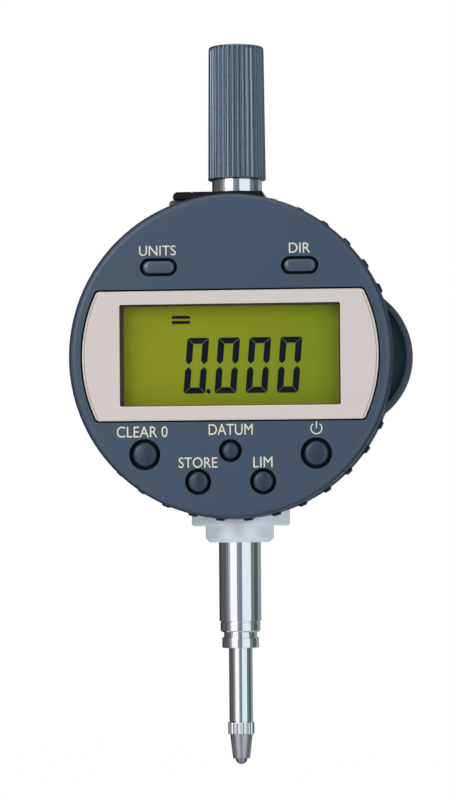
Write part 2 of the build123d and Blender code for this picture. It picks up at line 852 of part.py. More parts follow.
with BuildPart() as scale_carrier:
    with BuildSketch(Plane.XY.offset(carrier_bottom)):
        with Locations((0, (carrier_back - carrier_front) / 2)):
            RectangleRounded(carrier_width, carrier_front + carrier_back, 0.8)
    extrude(amount=carrier_height)
    with BuildSketch(Plane.XY.offset(spring_arm_bottom)):
        with Locations(((arm_end + spindle_r) / 2, 0)):
            Rectangle(arm_end - spindle_r, spring_d)
    extrude(amount=carrier_height - spring_arm_z)
    with BuildSketch(Plane.XY.offset(carrier_bottom)):
        Circle(spindle_r + press_gap)
    extrude(amount=carrier_height, mode=Mode.SUBTRACT)
    with BuildSketch(Plane.XZ.offset(-carrier_back)):
        with Locations((0, carrier_mid)):
            Circle(carrier_screw_d / 2 + press_gap)
    extrude(amount=carrier_back, mode=Mode.SUBTRACT)
    with BuildSketch(Plane.YZ.offset(-carrier_width / 2)):
        with Locations((0, guide_pin_z)):
            Circle(guide_pin_d / 2 + press_gap)
    extrude(amount=pin_seat, mode=Mode.SUBTRACT)
scale_carrier.part.label = "scale_carrier"
export_step(scale_carrier.part, "parts/scale_carrier.step")

with BuildPart() as carrier_screw:
    with BuildSketch(Plane.XZ.offset(-carrier_back - carrier_screw_d / 2)):
        with Locations((0, carrier_mid)):
            Circle(carrier_screw_d / 2)
    extrude(amount=carrier_back + carrier_screw_d / 2 - spindle_r)
carrier_screw.part.label = "carrier_screw"
export_step(carrier_screw.part, "parts/carrier_screw.step")

with BuildPart() as guide_pin:
    with BuildSketch(Plane.YZ.offset(-rail_x - rail_width / 2 - loose_gap)):
        with Locations((0, guide_pin_z)):
            Circle(guide_pin_d / 2)
    extrude(amount=rail_x + rail_width / 2 + loose_gap - carrier_width / 2 + pin_seat)
guide_pin.part.label = "guide_pin"
export_step(guide_pin.part, "parts/guide_pin.step")

with BuildPart() as scale_strip:
    with BuildSketch(Plane.XZ.offset(carrier_front)):
        with Locations((0, carrier_bottom + scale_length / 2)):
            Rectangle(scale_width, scale_length)
    extrude(amount=scale_thickness)
scale_strip.part.label = "scale_strip"
export_step(scale_strip.part, "parts/scale_strip.step")

# Fluted cap over the upper end of the spindle
with BuildPart() as spindle_cap:
    with BuildSketch(Plane.XZ):
        with BuildLine():
            Polyline(
                (0, flange_top),
                (cap_d / 2, flange_top),
                (cap_d / 2, flange_top + cap_rim),
                (cap_top_d / 2, cap_top - cap_dome),
            )
            ThreePointArc(
                (cap_top_d / 2, cap_top - cap_dome),
                (cap_top_d / 2 - cap_dome * 0.4, cap_top - cap_dome * 0.35),
                (cap_top_d / 2 - cap_dome * 1.3, cap_top),
            )
            Polyline((cap_top_d / 2 - cap_dome * 1.3, cap_top), (0, cap_top), (0, flange_top))
        make_face()
    revolve(axis=Axis.Z)
    with BuildSketch(Plane.XY.offset(flange_top + cap_rim)):
        with PolarLocations((cap_d + cap_top_d) / 4, cap_flutes):
            RegularPolygon(cap_flute_depth, 4)
    extrude(amount=cap_length - cap_rim - cap_dome, mode=Mode.SUBTRACT)
    with BuildSketch(Plane.XY.offset(flange_top)):
        Circle(cap_bore_d / 2)
    extrude(amount=cap_length - cap_wall, mode=Mode.SUBTRACT)
    with BuildSketch(Plane.XY.offset(flange_top)):
        Circle(spigot_d / 2 + turn_gap)
    extrude(amount=spigot_length + loose_gap, mode=Mode.SUBTRACT)
spindle_cap.part.label = "spindle_cap"
export_step(spindle_cap.part, "parts/spindle_cap.step")

# Rear cover of the display, turning on the hub
boss_places = [
    (boss_ring_r * cos(radians(angle)), boss_ring_r * sin(radians(angle))) for angle in boss_angles
]
display_screw_plane = Plane(origin=(0, -display_rear, display_height), x_dir=(-1, 0, 0), z_dir=(0, 1, 0))
screw_clear_r = display_screw_d / 2 + turn_gap
lip_front = hub_front - axial_play
tray_half = cell_d / 2 + cell_gap + tray_wall
lip_r = housing_bore_r - ring_lip

with BuildPart() as display_back:
    with BuildSketch(face_plane(display_rear)):
        Circle(back_cover_r)
        Circle(hub_r + turn_gap, mode=Mode.SUBTRACT)
    extrude(amount=lip_front - display_rear)
    with BuildSketch(face_plane(lip_front)):
        Circle(back_cover_r)
        Circle(retaining_r + slide_gap, mode=Mode.SUBTRACT)
    extrude(amount=display_inside - lip_front)
    # Posts under the main board
    with BuildSketch(face_plane(display_inside)):
        with Locations(*boss_places):
            Circle(boss_d / 2)
    extrude(amount=main_board_back - display_inside)
    # Rails on both sides of the cell tray
    rail_z = tray_half + slide_gap + tray_rail_width / 2
    with BuildSketch(face_plane(display_inside)):
        with Locations((lip_r / 2, rail_z), (lip_r / 2, -rail_z)):
            Rectangle(lip_r, tray_rail_width)
        Circle(lip_r - slide_gap, mode=Mode.INTERSECT)
        Circle(retaining_r + loose_gap, mode=Mode.SUBTRACT)
    extrude(amount=main_board_back - rail_height_gap - display_inside)
    # Holes for the screws and the stop pin
    with BuildSketch(face_plane(display_rear)):
        with Locations(*boss_places):
            Circle(screw_clear_r)
    extrude(amount=main_board_back - display_rear, mode=Mode.SUBTRACT)
    with Locations(*[face_plane(display_rear + screw_head_height / 2) * Pos(x, y) for x, y in boss_places]):
        Cone(screw_head_d / 2 + press_gap, screw_clear_r, screw_head_height, mode=Mode.SUBTRACT)
    with BuildSketch(face_plane(display_rear)):
        with Locations((0, stop_ring_r)):
            Circle(stop_pin_d / 2 + press_gap)
    extrude(amount=back_cover_thickness, mode=Mode.SUBTRACT)
display_back.part.label = "display_back"
export_step(display_back.part, "parts/display_back.step")

with BuildPart() as stop_pin:
    with BuildSketch(face_plane(display_inside)):
        with Locations((0, stop_ring_r)):
            Circle(stop_pin_d / 2)
    extrude(amount=case_front - stop_engagement - display_inside)
stop_pin.part.label = "stop_pin"
export_step(stop_pin.part, "parts/stop_pin.step")

display_screws = countersunk(
    display_screw_plane, boss_places, screw_head_d, screw_head_height, display_screw_d,
    main_board_front + display_screw_depth - display_rear,
)
display_screws.part.label = "display_screws"
export_step(display_screws.part, "parts/display_screws.step")

# Ribbed grip ring, open where the cell tray's door closes it
rib_pitch = 360 / rib_count
rib_angles = [(rib + 0.5) * rib_pitch - 180 for rib in range(rib_count)]
door_angle = degrees(asin((door_half_width + rib_base / 2) / ring_r))

with BuildPart() as grip_ring:
    with BuildSketch(face_plane(ring_back)):
        Circle(ring_r)
        Circle(housing_bore_r, mode=Mode.SUBTRACT)
    extrude(amount=ring_front - ring_back)
    with BuildSketch(face_plane(display_inside)):
        Circle(housing_bore_r + press_gap)
        Circle(lip_r, mode=Mode.SUBTRACT)
    extrude(amount=ring_lip_height)
    with BuildSketch(face_plane(ring_back + rib_margin)):
        with Locations(*[Location((0, 0, 0), (0, 0, a)) for a in rib_angles if abs(a) > door_angle]):
            Polygon(
                (ring_r - rib_height / 2, -rib_base / 2),
                (ring_r, -rib_base / 2),
                (ring_r + rib_height, -rib_tip / 2),
                (ring_r + rib_height, rib_tip / 2),
                (ring_r, rib_base / 2),
                (ring_r - rib_height / 2, rib_base / 2),
                align=None,
            )
    extrude(amount=ring_front - ring_back - 2 * rib_margin)
    with BuildSketch(face_plane(ring_back)):
        with Locations((ring_r, 0)):
            Rectangle(ring_r, 2 * (door_half_width + slide_gap))
    extrude(amount=ring_front - ring_back, mode=Mode.SUBTRACT)
grip_ring.part.label = "grip_ring"
export_step(grip_ring.part, "parts/grip_ring.step")

# Front housing with the recesses for the frame and the keys
with BuildPart() as front_housing:
    with BuildSketch(face_plane(ring_front)):
        Circle(housing_r)
    extrude(amount=face_front - ring_front)
    fillet(front_housing.edges().group_by(Axis.Y)[0], housing_fillet)
    with BuildSketch(face_plane(ring_front)):
        Circle(housing_bore_r)
    extrude(amount=face_inside - ring_front, mode=Mode.SUBTRACT)
    with BuildSketch(face_plane(face_inside)):
        with Locations(*boss_places):
            Circle(boss_d / 2)
    extrude(amount=main_board_front - face_inside)
    with BuildSketch(face_plane(main_board_front)):
        with Locations(*boss_places):
            Circle(display_screw_d / 2 + press_gap)
    extrude(amount=display_screw_depth + loose_gap, mode=Mode.SUBTRACT)
    # Recess of the window frame, then the opening for the lens
    with BuildSketch(face_plane(face_front)) as frame_recess:
        Circle(frame_r + frame_gap)
        with Locations((0, frame_rise)):
            Rectangle(2 * housing_r, frame_height + 2 * frame_gap, mode=Mode.INTERSECT)
        fillet(frame_recess.vertices(), frame_corner)
    extrude(amount=-frame_thickness, mode=Mode.SUBTRACT)
    with BuildSketch(face_plane(frame_back)):
        with Locations((0, window_rise)):
            Rectangle(
                window_width + 2 * lens_margin + 2 * press_gap,
                window_height + 2 * lens_margin + 2 * press_gap,
            )
    extrude(amount=face_inside - frame_back, mode=Mode.SUBTRACT)
    # Moats and holes of the keys
    with BuildSketch(face_plane(face_front)):
        for key in keys:
            key_outline(key, key.moat)
    extrude(amount=-moat_depth, mode=Mode.SUBTRACT)
    with BuildSketch(face_plane(face_front)):
        for key in keys:
            key_outline(key, slide_gap)
    extrude(amount=-face_thickness, mode=Mode.SUBTRACT)
front_housing.part.label = "front_housing"
export_step(front_housing.part, "parts/front_housing.step")

# Frame round the window, flush with the face
with BuildPart() as window_frame:
    with BuildSketch(face_plane(frame_back)) as frame_outline:
        Circle(frame_r)
        with Locations((0, frame_rise)):
            Rectangle(2 * housing_r, frame_height, mode=Mode.INTERSECT)
        fillet(frame_outline.vertices(), frame_corner)
        with Locations((0, window_rise)):
            RectangleRounded(window_width, window_height, window_corner, mode=Mode.SUBTRACT)
    extrude(amount=frame_thickness)
    chamfer(window_frame.edges().group_by(Axis.Y)[0], frame_thickness / 5)
window_frame.part.label = "window_frame"
export_step(window_frame.part, "parts/window_frame.step")

with BuildPart() as window_lens:
    with BuildSketch(face_plane(face_inside)):
        with Locations((0, window_rise)):
            Rectangle(window_width + 2 * lens_margin, window_height + 2 * lens_margin)
    extrude(amount=frame_back - face_inside)
window_lens.part.label = "window_lens"
export_step(window_lens.part, "parts/window_lens.step")

# Readout: dark frame, glass panel and the two rubber connectors under it
glass_width = window_width + 2 * lcd_glass_margin
glass_height = window_height + 2 * lcd_glass_margin

with BuildPart() as lcd_frame:
    with BuildSketch(face_plane(main_board_front)):
        with Locations((0, window_rise)):
            Rectangle(window_width + 2 * lcd_frame_margin, window_height + 2 * lcd_frame_margin)
            Rectangle(
                window_width - 2 * lcd_side_lip, window_height - 2 * lcd_top_lip, mode=Mode.SUBTRACT
            )
    extrude(amount=face_inside - main_board_front)
    with BuildSketch(face_plane(main_board_front)):
        with Locations((0, window_rise)):
            Rectangle(glass_width + 2 * press_gap, glass_height + 2 * press_gap)
    extrude(amount=lcd_front - main_board_front, mode=Mode.SUBTRACT)
lcd_frame.part.label = "lcd_frame"
export_step(lcd_frame.part, "parts/lcd_frame.step")

with BuildPart() as lcd_panel:
    with BuildSketch(face_plane(lcd_back)):
        with Locations((0, window_rise)):
            Rectangle(glass_width, glass_height)
    extrude(amount=lcd_thickness)
lcd_panel.part.label = "lcd_panel"
export_step(lcd_panel.part, "parts/lcd_panel.step")

with BuildPart() as lcd_connectors:
    with BuildSketch(face_plane(main_board_front)):
        with Locations((0, window_rise)):
            with GridLocations(1, glass_height - connector_width, 1, 2):
                Rectangle(window_width, connector_width)
    extrude(amount=lcd_back - main_board_front)
lcd_connectors.part.label = "lcd_connectors"
export_step(lcd_connectors.part, "parts/lcd_connectors.step")

# Main board with its processor and the domes under the keys
with BuildPart() as main_board:
    with BuildSketch(face_plane(main_board_back)):
        Circle(back_cover_r - loose_gap)
        with Locations(*boss_places):
            Circle(screw_clear_r, mode=Mode.SUBTRACT)
    extrude(amount=board_thickness)
main_board.part.label = "main_board"
export_step(main_board.part, "parts/main_board.step")

with BuildPart() as board_chip:
    with BuildSketch(face_plane(main_board_back)):
        with Locations((-processor_x, 0)):
            Rectangle(processor_size, processor_size)
    extrude(amount=-processor_thickness)
board_chip.part.label = "board_chip"
export_step(board_chip.part, "parts/board_chip.step")

dome_level = face_plane(main_board_front + dome_height / 2)

with BuildPart() as key_domes:
    with Locations(*[dome_level * Pos(key.x, key.z) for key in keys]):
        Cone(dome_d / 2, dome_d / 4, dome_height)
key_domes.part.label = "key_domes"
export_step(key_domes.part, "parts/key_domes.step")

# Rubber mat between the keys and the domes, one sheet above and one below the window
mat_back = mat_front - mat_thickness
key_rows = ([key for key in keys if key.z > 0], [key for key in keys if key.z < 0])

with BuildPart() as key_mat:
    for row in key_rows:
        with BuildSketch(face_plane(mat_back)) as mat_outline:
            for key in row:
                with Locations((key.x, key.z)):
                    Circle(key.tall / 2 + mat_margin)
            make_hull()
        extrude(amount=mat_thickness)
        with BuildSketch(face_plane(main_board_front)):
            add(mat_outline.sketch_local)
            offset(mat_outline.sketch_local, amount=-mat_rim, mode=Mode.SUBTRACT)
        extrude(amount=mat_back - main_board_front)
    with BuildSketch(face_plane(mat_back)):
        with Locations(*[(key.x, key.z) for key in keys]):
            Circle(key_plunger_d / 2)
    extrude(amount=-mat_pad_length)
    with BuildSketch(face_plane(main_board_front)):
        with Locations(*boss_places):
            Circle(boss_d / 2 + loose_gap)
    extrude(amount=mat_front - main_board_front, mode=Mode.SUBTRACT)
key_mat.part.label = "key_mat"
export_step(key_mat.part, "parts/key_mat.step")

# Keys: crown in its hole, flange behind the face and plunger over the mat
for key in keys:
    with BuildPart() as key_part:
        with BuildSketch(face_plane(face_inside)):
            key_outline(key, 0)
        extrude(amount=face_front + key_rise - face_inside)
        fillet(key_part.edges().group_by(Axis.Y)[0], key_round)
        with BuildSketch(face_plane(key_flange_back)):
            key_outline(key, key_flange)
        extrude(amount=key_flange_thickness)
        with BuildSketch(face_plane(plunger_end)):
            with Locations((key.x, key.z)):
                Circle(key_plunger_d / 2)
        extrude(amount=key_flange_back - plunger_end)
    key_part.part.label = key.name
    export_step(key_part.part, f"parts/{key.name}.step")

# Cell tray: cell pocket, door flush with the grip ring and the finger crescent outside it
door_inner_r = ring_r - door_wall
cell_x = door_inner_r - loose_gap - cell_gap - cell_d / 2
door_bottom = ring_back + door_gap
door_height = ring_front - door_gap - door_bottom

with BuildPart() as cell_tray:
    with BuildSketch(face_plane(tray_bottom)):
        with Locations((cell_x, 0)):
            Circle(tray_half)
            Rectangle(ring_r, 2 * tray_half, align=(Align.MIN, Align.CENTER))
        Circle(ring_r - door_wall / 2, mode=Mode.INTERSECT)
    extrude(amount=tray_floor + tray_depth)
    with BuildSketch(face_plane(tray_bottom + tray_floor)):
        with Locations((cell_x, 0)):
            Circle(cell_d / 2 + cell_gap)
    extrude(amount=tray_depth, mode=Mode.SUBTRACT)
    with BuildSketch(face_plane(door_bottom)):
        Circle(ring_r)
        Circle(door_inner_r, mode=Mode.SUBTRACT)
        with Locations((ring_r, 0)):
            Rectangle(ring_r, 2 * door_half_width, mode=Mode.INTERSECT)
    extrude(amount=door_height)
    # Curved wall of the crescent, with its floor
    with BuildSketch(face_plane(door_bottom)):
        with Locations((bulge_x, 0)):
            Circle(bulge_r)
            Circle(bulge_r - bulge_wall, mode=Mode.SUBTRACT)
        Circle(ring_r - tray_clearance, mode=Mode.SUBTRACT)
    extrude(amount=door_height)
    with BuildSketch(face_plane(door_bottom)):
        with Locations((bulge_x, 0)):
            Circle(bulge_r)
        Circle(ring_r - tray_clearance, mode=Mode.SUBTRACT)
    extrude(amount=bulge_floor)
    rim_edges = cell_tray.edges().filter_by(GeomType.CIRCLE)
    fillet(rim_edges.filter_by(lambda edge: abs(edge.radius - bulge_r) < press_gap), bulge_round)
cell_tray.part.label = "cell_tray"
export_step(cell_tray.part, "parts/cell_tray.step")

with BuildPart() as coin_cell:
    with BuildSketch(face_plane(cell_bottom + cell_gap)):
        with Locations((cell_x, 0)):
            Circle(cell_d / 2)
    extrude(amount=cell_thickness - cell_gap)
    with BuildSketch(face_plane(cell_bottom)):
        with Locations((cell_x, 0)):
            Circle(cell_d / 2 - tray_wall * 2)
    extrude(amount=cell_gap)
coin_cell.part.label = "coin_cell"
export_step(coin_cell.part, "parts/coin_cell.step")

# Spring contacts on the back of the main board, pressing on the cell
finger_level = cell_front + cell_gap
finger_start = cell_x - contact_strip_width * 2.5
finger_end = finger_start + contact_finger_reach
finger_bend = finger_start + contact_finger_reach * 3 / 8
finger_pad = finger_start + contact_finger_reach * 3 / 4

with BuildPart() as cell_contacts:
    for strip_z in (-2 * contact_strip_width, contact_strip_width):
        with BuildSketch(Plane.XY.offset(display_height + strip_z)):
            Polygon(
                (finger_start, -main_board_back),
                (finger_start, contact_strip_thickness - main_board_back),
                (finger_bend, contact_strip_thickness - main_board_back),
                (finger_pad, -finger_level),
                (finger_end, -finger_level),
                (finger_end, -finger_level - contact_strip_thickness),
                (finger_pad, -finger_level - contact_strip_thickness),
                (finger_bend, -main_board_back),
                align=None,
            )
        extrude(amount=contact_strip_width)
cell_contacts.part.label = "cell_contacts"
export_step(cell_contacts.part, "parts/cell_contacts.step")
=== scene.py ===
"""Looks of the digital indicator: materials, finer meshes, printed marks, studio and camera."""

import logging
import math
from dataclasses import dataclass, field
from enum import Enum
from typing import Callable, Optional, Sequence, Union

import bmesh
import bpy
import numpy as np
from mathutils import Matrix, Vector


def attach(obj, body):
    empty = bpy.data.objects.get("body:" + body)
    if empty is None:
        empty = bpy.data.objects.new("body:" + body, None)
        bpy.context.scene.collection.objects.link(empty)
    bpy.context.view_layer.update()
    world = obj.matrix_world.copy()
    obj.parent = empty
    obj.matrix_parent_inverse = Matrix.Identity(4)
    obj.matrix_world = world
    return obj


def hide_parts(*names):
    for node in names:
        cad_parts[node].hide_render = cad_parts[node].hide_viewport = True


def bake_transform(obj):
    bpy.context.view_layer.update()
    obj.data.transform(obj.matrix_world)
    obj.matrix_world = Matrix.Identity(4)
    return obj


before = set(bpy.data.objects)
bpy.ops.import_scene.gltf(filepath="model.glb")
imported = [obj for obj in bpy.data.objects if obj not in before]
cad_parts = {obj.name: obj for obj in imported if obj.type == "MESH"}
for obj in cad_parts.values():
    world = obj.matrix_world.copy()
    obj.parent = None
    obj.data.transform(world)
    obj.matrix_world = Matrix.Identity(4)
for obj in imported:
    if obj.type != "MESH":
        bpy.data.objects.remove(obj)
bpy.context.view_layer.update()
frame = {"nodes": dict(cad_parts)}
LOG = logging.getLogger("indicator")
MM = 0.001
DISPLAY_Z = 34.5

Number = Union[float, int, "Term"]
Triple = tuple[float, float, float]
Colour = Triple


# Shader expressions


class Term:
    """A socket of a material's tree that can be used in Python expressions."""

    def __init__(self, tree: "Tree", socket: bpy.types.NodeSocket) -> None:
        """Wraps one output socket of the tree."""
        self.tree = tree
        self.socket = socket

    def __add__(self, other: Number) -> "Term":
        """Sum of both."""
        return self.tree.math("ADD", self, other)

    def __radd__(self, other: Number) -> "Term":
        """Sum with the number on the left."""
        return self.tree.math("ADD", other, self)

    def __sub__(self, other: Number) -> "Term":
        """Difference."""
        return self.tree.math("SUBTRACT", self, other)

    def __rsub__(self, other: Number) -> "Term":
        """Difference with the number on the left, as in 1 - mask."""
        return self.tree.math("SUBTRACT", other, self)

    def __mul__(self, other: Number) -> "Term":
        """Product."""
        return self.tree.math("MULTIPLY", self, other)

    def __rmul__(self, other: Number) -> "Term":
        """Product with the number on the left."""
        return self.tree.math("MULTIPLY", other, self)


class Tree:
    """Node tree of one material or world, built by expressions on Terms."""

    def __init__(self, owner: Union[bpy.types.Material, bpy.types.World]) -> None:
        """Empties the owner's tree.

        Args:
            owner: the new material or world.
        """
        self.owner = owner
        owner.use_nodes = True
        self.nodes = owner.node_tree.nodes
        self.links = owner.node_tree.links
        self.nodes.clear()

    def node(
        self,
        kind: str,
        settings: Optional[dict] = None,
        values: Optional[dict] = None,
        output: Union[int, str] = 0,
    ) -> Term:
        """Adds one node.

        Args:
            kind: the node's type without its ShaderNode prefix.
            settings: attributes, which are set first.
            values: numbers, colours or Terms for the input sockets, by name or index.
            output: the output socket that the Term wraps.

        Returns:
            The chosen output as a Term.
        """
        made = self.nodes.new("ShaderNode" + kind)
        for key, value in (settings or {}).items():
            setattr(made, key, value)
        for key, value in (values or {}).items():
            socket = made.inputs[key]
            if isinstance(value, Term):
                self.links.new(value.socket, socket)
            elif isinstance(value, tuple) and len(value) == 3 and socket.type == "RGBA":
                socket.default_value = (*value, 1.0)
            else:
                socket.default_value = value
        return Term(self, made.outputs[output]) if made.outputs else Term(self, made.inputs[0])

    def math(self, operation: str, *values: Number) -> Term:
        """Adds a Math node with the values on its sockets and returns its result."""
        return self.node("Math", {"operation": operation}, dict(enumerate(values)))

    def clamp(self, value: Number, low: float = 0.0, high: float = 1.0) -> Term:
        """Keeps a value between two limits."""
        return self.node("Clamp", None, {"Value": value, "Min": low, "Max": high})

    def ramp(self, value: Number, low: float, high: float) -> Term:
        """Turns low to high into 0 to 1 with soft ends.

        Args:
            value: the number to turn.
            low: what becomes 0.
            high: what becomes 1.

        Returns:
            A Term from 0 to 1.
        """
        settings = {"interpolation_type": "SMOOTHSTEP"}
        values = {"Value": value, "From Min": low, "From Max": high, "To Min": 0.0, "To Max": 1.0}
        return self.node("MapRange", settings, values)

    def mix(self, factor: Number, first: Union[Colour, Term], second: Union[Colour, Term]) -> Term:
        """Mixes two colours by a factor."""
        both = {0: factor, 6: first, 7: second}
        return self.node("Mix", {"data_type": "RGBA"}, both, output=2)

    def millimetres(self, stretch: Triple = (1.0, 1.0, 1.0)) -> Term:
        """Object coordinates in millimetres.

        Args:
            stretch: factor of each axis; a small one draws a pattern out along that axis.

        Returns:
            The coordinates as a vector.
        """
        place = self.node("TexCoord", output="Object")
        scale = tuple(1000.0 * value for value in stretch)
        return self.node("VectorMath", {"operation": "MULTIPLY"}, {0: place, 1: scale})

    def across(self) -> Term:
        """The object coordinate X in millimetres."""
        return self.node("SeparateXYZ", None, {0: self.millimetres()}, output="X")

    def seen(self) -> Term:
        """1 for camera, transmission and glossy rays, and 0 for the light on the object.

        Returns:
            A Term of 0 or 1.
        """
        kinds = ("Camera", "Transmission", "Glossy")
        rays = [self.node("LightPath", output=f"Is {kind} Ray") for kind in kinds]
        return self.clamp(rays[0] + rays[1] + rays[2])

    def noise(self, size: float, detail: float = 2.0, stretch: Triple = (1.0, 1.0, 1.0)) -> Term:
        """Cloudy noise from 0 to 1 whose blobs are about size millimetres across."""
        values = {"Vector": self.millimetres(stretch), "Scale": 1.0 / size, "Detail": detail}
        return self.node("TexNoise", None, values)

    def bump(self, height: Number, distance: float, strength: float = 1.0) -> Term:
        """Normal from a height, where distance in millimetres is the height of 1."""
        values = {"Height": height, "Distance": distance * MM, "Strength": strength}
        return self.node("Bump", None, values)

    def finish(self, **values: Union[Number, Colour]) -> bpy.types.Material:
        """Adds the Principled shader and the output.

        Args:
            values: the shader's sockets, with underscores for the blanks in their names.

        Returns:
            The finished material.
        """
        sockets = {key.replace("_", " "): value for key, value in values.items()}
        shader = self.node("BsdfPrincipled", None, sockets)
        self.node("OutputMaterial", None, {"Surface": shader})
        return self.owner


def srgb(red: float, green: float, blue: float) -> Colour:
    """Linear colour of a screen colour.

    Args:
        red: its red, 0 to 255.
        green: its green.
        blue: its blue.

    Returns:
        The colour, each value 0 to 1.
    """
    levels = np.array([red, green, blue]) / 255.0
    linear = np.where(levels <= 0.04045, levels / 12.92, ((levels + 0.055) / 1.055) ** 2.4)
    return tuple(float(value) for value in linear)


def lighter(colour: Colour, factor: float) -> Colour:
    """The colour times a factor."""
    return tuple(min(1.0, value * factor) for value in colour)


# Finishes


@dataclass(frozen=True)
class Finish:
    """A surface finish that makes its own material once."""

    name: str
    colour: Colour

    def build(self, tree: Tree) -> bpy.types.Material:
        """Adds the finish's nodes. Each kind of finish has its own."""
        raise NotImplementedError

    def material(self) -> bpy.types.Material:
        """The finish's material, made at its first use."""
        found = bpy.data.materials.get(self.name)
        return found if found else self.build(Tree(bpy.data.materials.new(self.name)))


@dataclass(frozen=True)
class Moulded(Finish):
    """Moulded plastic with a fine spark-eroded grain and slight handling wear."""

    roughness: float = 0.42
    grain: float = 0.16
    depth: float = 0.012
    cloud: float = 0.05
    specular: float = 0.4
    metallic: float = 0.0

    def build(self, tree: Tree) -> bpy.types.Material:
        """Grain bump, patchy gloss and a faint change of shade.

        Args:
            tree: the new material's tree.

        Returns:
            The finished material.
        """
        patches = tree.noise(9.0, 3.0)
        smears = tree.noise(3.2, 2.0, (1.0, 1.0, 0.35))
        grain = tree.noise(self.grain, 1.5)
        shade = tree.clamp(patches * 0.7 + smears * 0.3)
        base = tree.mix(
            shade, lighter(self.colour, 1.0 - self.cloud), lighter(self.colour, 1.0 + self.cloud)
        )
        roughness = self.roughness + (smears - 0.5) * 0.1 + (grain - 0.5) * 0.08
        return tree.finish(
            Base_Color=base, Roughness=roughness, Normal=tree.bump(grain, self.depth, 0.5),
            Specular_IOR_Level=self.specular, Metallic=self.metallic,
        )


@dataclass(frozen=True)
class Rubber(Finish):
    """Soft moulded rubber with fine dust in its skin."""

    roughness: float = 0.55

    def build(self, tree: Tree) -> bpy.types.Material:
        """Matt skin, specks of dust and a soft bump.

        Args:
            tree: the new material's tree.

        Returns:
            The finished material.
        """
        skin = tree.noise(0.22, 2.0)
        dust = tree.ramp(tree.noise(0.5, 4.0), 0.66, 0.78)
        base = tree.mix(dust * 0.25, self.colour, lighter(self.colour, 1.8))
        roughness = self.roughness + (skin - 0.5) * 0.12
        return tree.finish(
            Base_Color=base, Roughness=roughness, Normal=tree.bump(skin, 0.01, 0.4),
            Sheen_Weight=0.05,
        )


@dataclass(frozen=True)
class Turned(Finish):
    """Turned and polished steel with fine rings round the Z axis."""

    roughness: float = 0.12
    lines: float = 0.12
    depth: float = 0.0012

    def build(self, tree: Tree) -> bpy.types.Material:
        """Fine turning rings, and long faint smears in the gloss.

        Args:
            tree: the new material's tree.

        Returns:
            The finished material.
        """
        rings = tree.noise(self.lines, 2.0, (0.02, 0.02, 1.0))
        smears = tree.noise(2.0, 3.0, (1.0, 1.0, 0.25))
        specks = tree.ramp(tree.noise(0.45, 3.0), 0.70, 0.76)
        base = tree.mix(
            specks * 0.35 + (smears - 0.5) * 0.2, self.colour, lighter(self.colour, 0.62)
        )
        roughness = self.roughness + (smears - 0.4) * 0.12 + (rings - 0.5) * 0.1
        return tree.finish(
            Base_Color=base, Metallic=1.0, Roughness=roughness,
            Normal=tree.bump(rings, self.depth, 0.6),
        )


@dataclass(frozen=True)
class Cast(Finish):
    """Die-cast metal, bead-blasted to an even satin."""

    roughness: float = 0.44
    metallic: float = 0.75

    def build(self, tree: Tree) -> bpy.types.Material:
        """Blasted pits, faint flow clouds and a few deeper specks.

        Args:
            tree: the new material's tree.

        Returns:
            The finished material.
        """
        pits = tree.noise(0.14, 2.0)
        clouds = tree.noise(5.0, 3.0)
        specks = tree.ramp(tree.noise(0.8, 2.0), 0.72, 0.76)
        base = tree.mix(
            tree.clamp(clouds * 0.5 + specks * 0.5), lighter(self.colour, 1.03),
            lighter(self.colour, 0.86),
        )
        height = pits * 0.6 + clouds * 0.2 - specks * 0.8
        roughness = self.roughness + (pits - 0.5) * 0.15
        return tree.finish(
            Base_Color=base, Metallic=self.metallic, Roughness=roughness,
            Normal=tree.bump(height, 0.01, 0.5),
        )


@dataclass(frozen=True)
class Satin(Finish):
    """Painted or anodised plate with a fine long grain along X."""

    roughness: float = 0.38
    metallic: float = 0.0

    def build(self, tree: Tree) -> bpy.types.Material:
        """Long fine grain in the shade, the gloss and the bump.

        Args:
            tree: the new material's tree.

        Returns:
            The finished material.
        """
        grain = tree.noise(0.10, 2.0, (0.05, 1.0, 1.0))
        clouds = tree.noise(7.0, 3.0)
        base = tree.mix(
            tree.clamp(grain * 0.45 + clouds * 0.55), lighter(self.colour, 0.965),
            lighter(self.colour, 1.03),
        )
        roughness = self.roughness + (grain - 0.5) * 0.14
        return tree.finish(
            Base_Color=base, Metallic=self.metallic, Roughness=roughness,
            Normal=tree.bump(grain, 0.004, 0.5),
        )


@dataclass(frozen=True)
class Readout(Finish):
    """Film of the readout: its colour goes over to another on the right, with a fine grain."""

    right: Colour = (0.2, 0.3, 0.03)
    half_width: float = 21.0

    def build(self, tree: Tree) -> bpy.types.Material:
        """Slow change of colour across the film, and a faint grain.

        Args:
            tree: the new material's tree.

        Returns:
            The finished material.
        """
        across = tree.ramp(tree.across(), -self.half_width, self.half_width)
        grain = tree.noise(0.12, 2.0, (1.0, 1.0, 0.2))
        clouds = tree.noise(8.0, 2.0)
        base = tree.mix(across, self.colour, self.right)
        shade = (grain - 0.5) * 0.1 + (clouds - 0.5) * 0.08 + 0.05
        base = tree.mix(shade, base, lighter(self.right, 0.6))
        return tree.finish(
            Base_Color=base, Roughness=0.34 + (grain - 0.5) * 0.1,
            Normal=tree.bump(grain, 0.002, 0.3), Specular_IOR_Level=0.12,
        )


@dataclass(frozen=True)
class Ink(Finish):
    """Printed or driven mark: thin, even and a little uneven at its edge."""

    roughness: float = 0.5

    def build(self, tree: Tree) -> bpy.types.Material:
        """Slight change of cover in the print.

        Args:
            tree: the new material's tree.

        Returns:
            The finished material.
        """
        cover = tree.noise(0.3, 3.0)
        base = tree.mix(cover * 0.2, self.colour, lighter(self.colour, 0.85))
        roughness = self.roughness + (cover - 0.5) * 0.1
        return tree.finish(Base_Color=base, Roughness=roughness, Specular_IOR_Level=0.1)


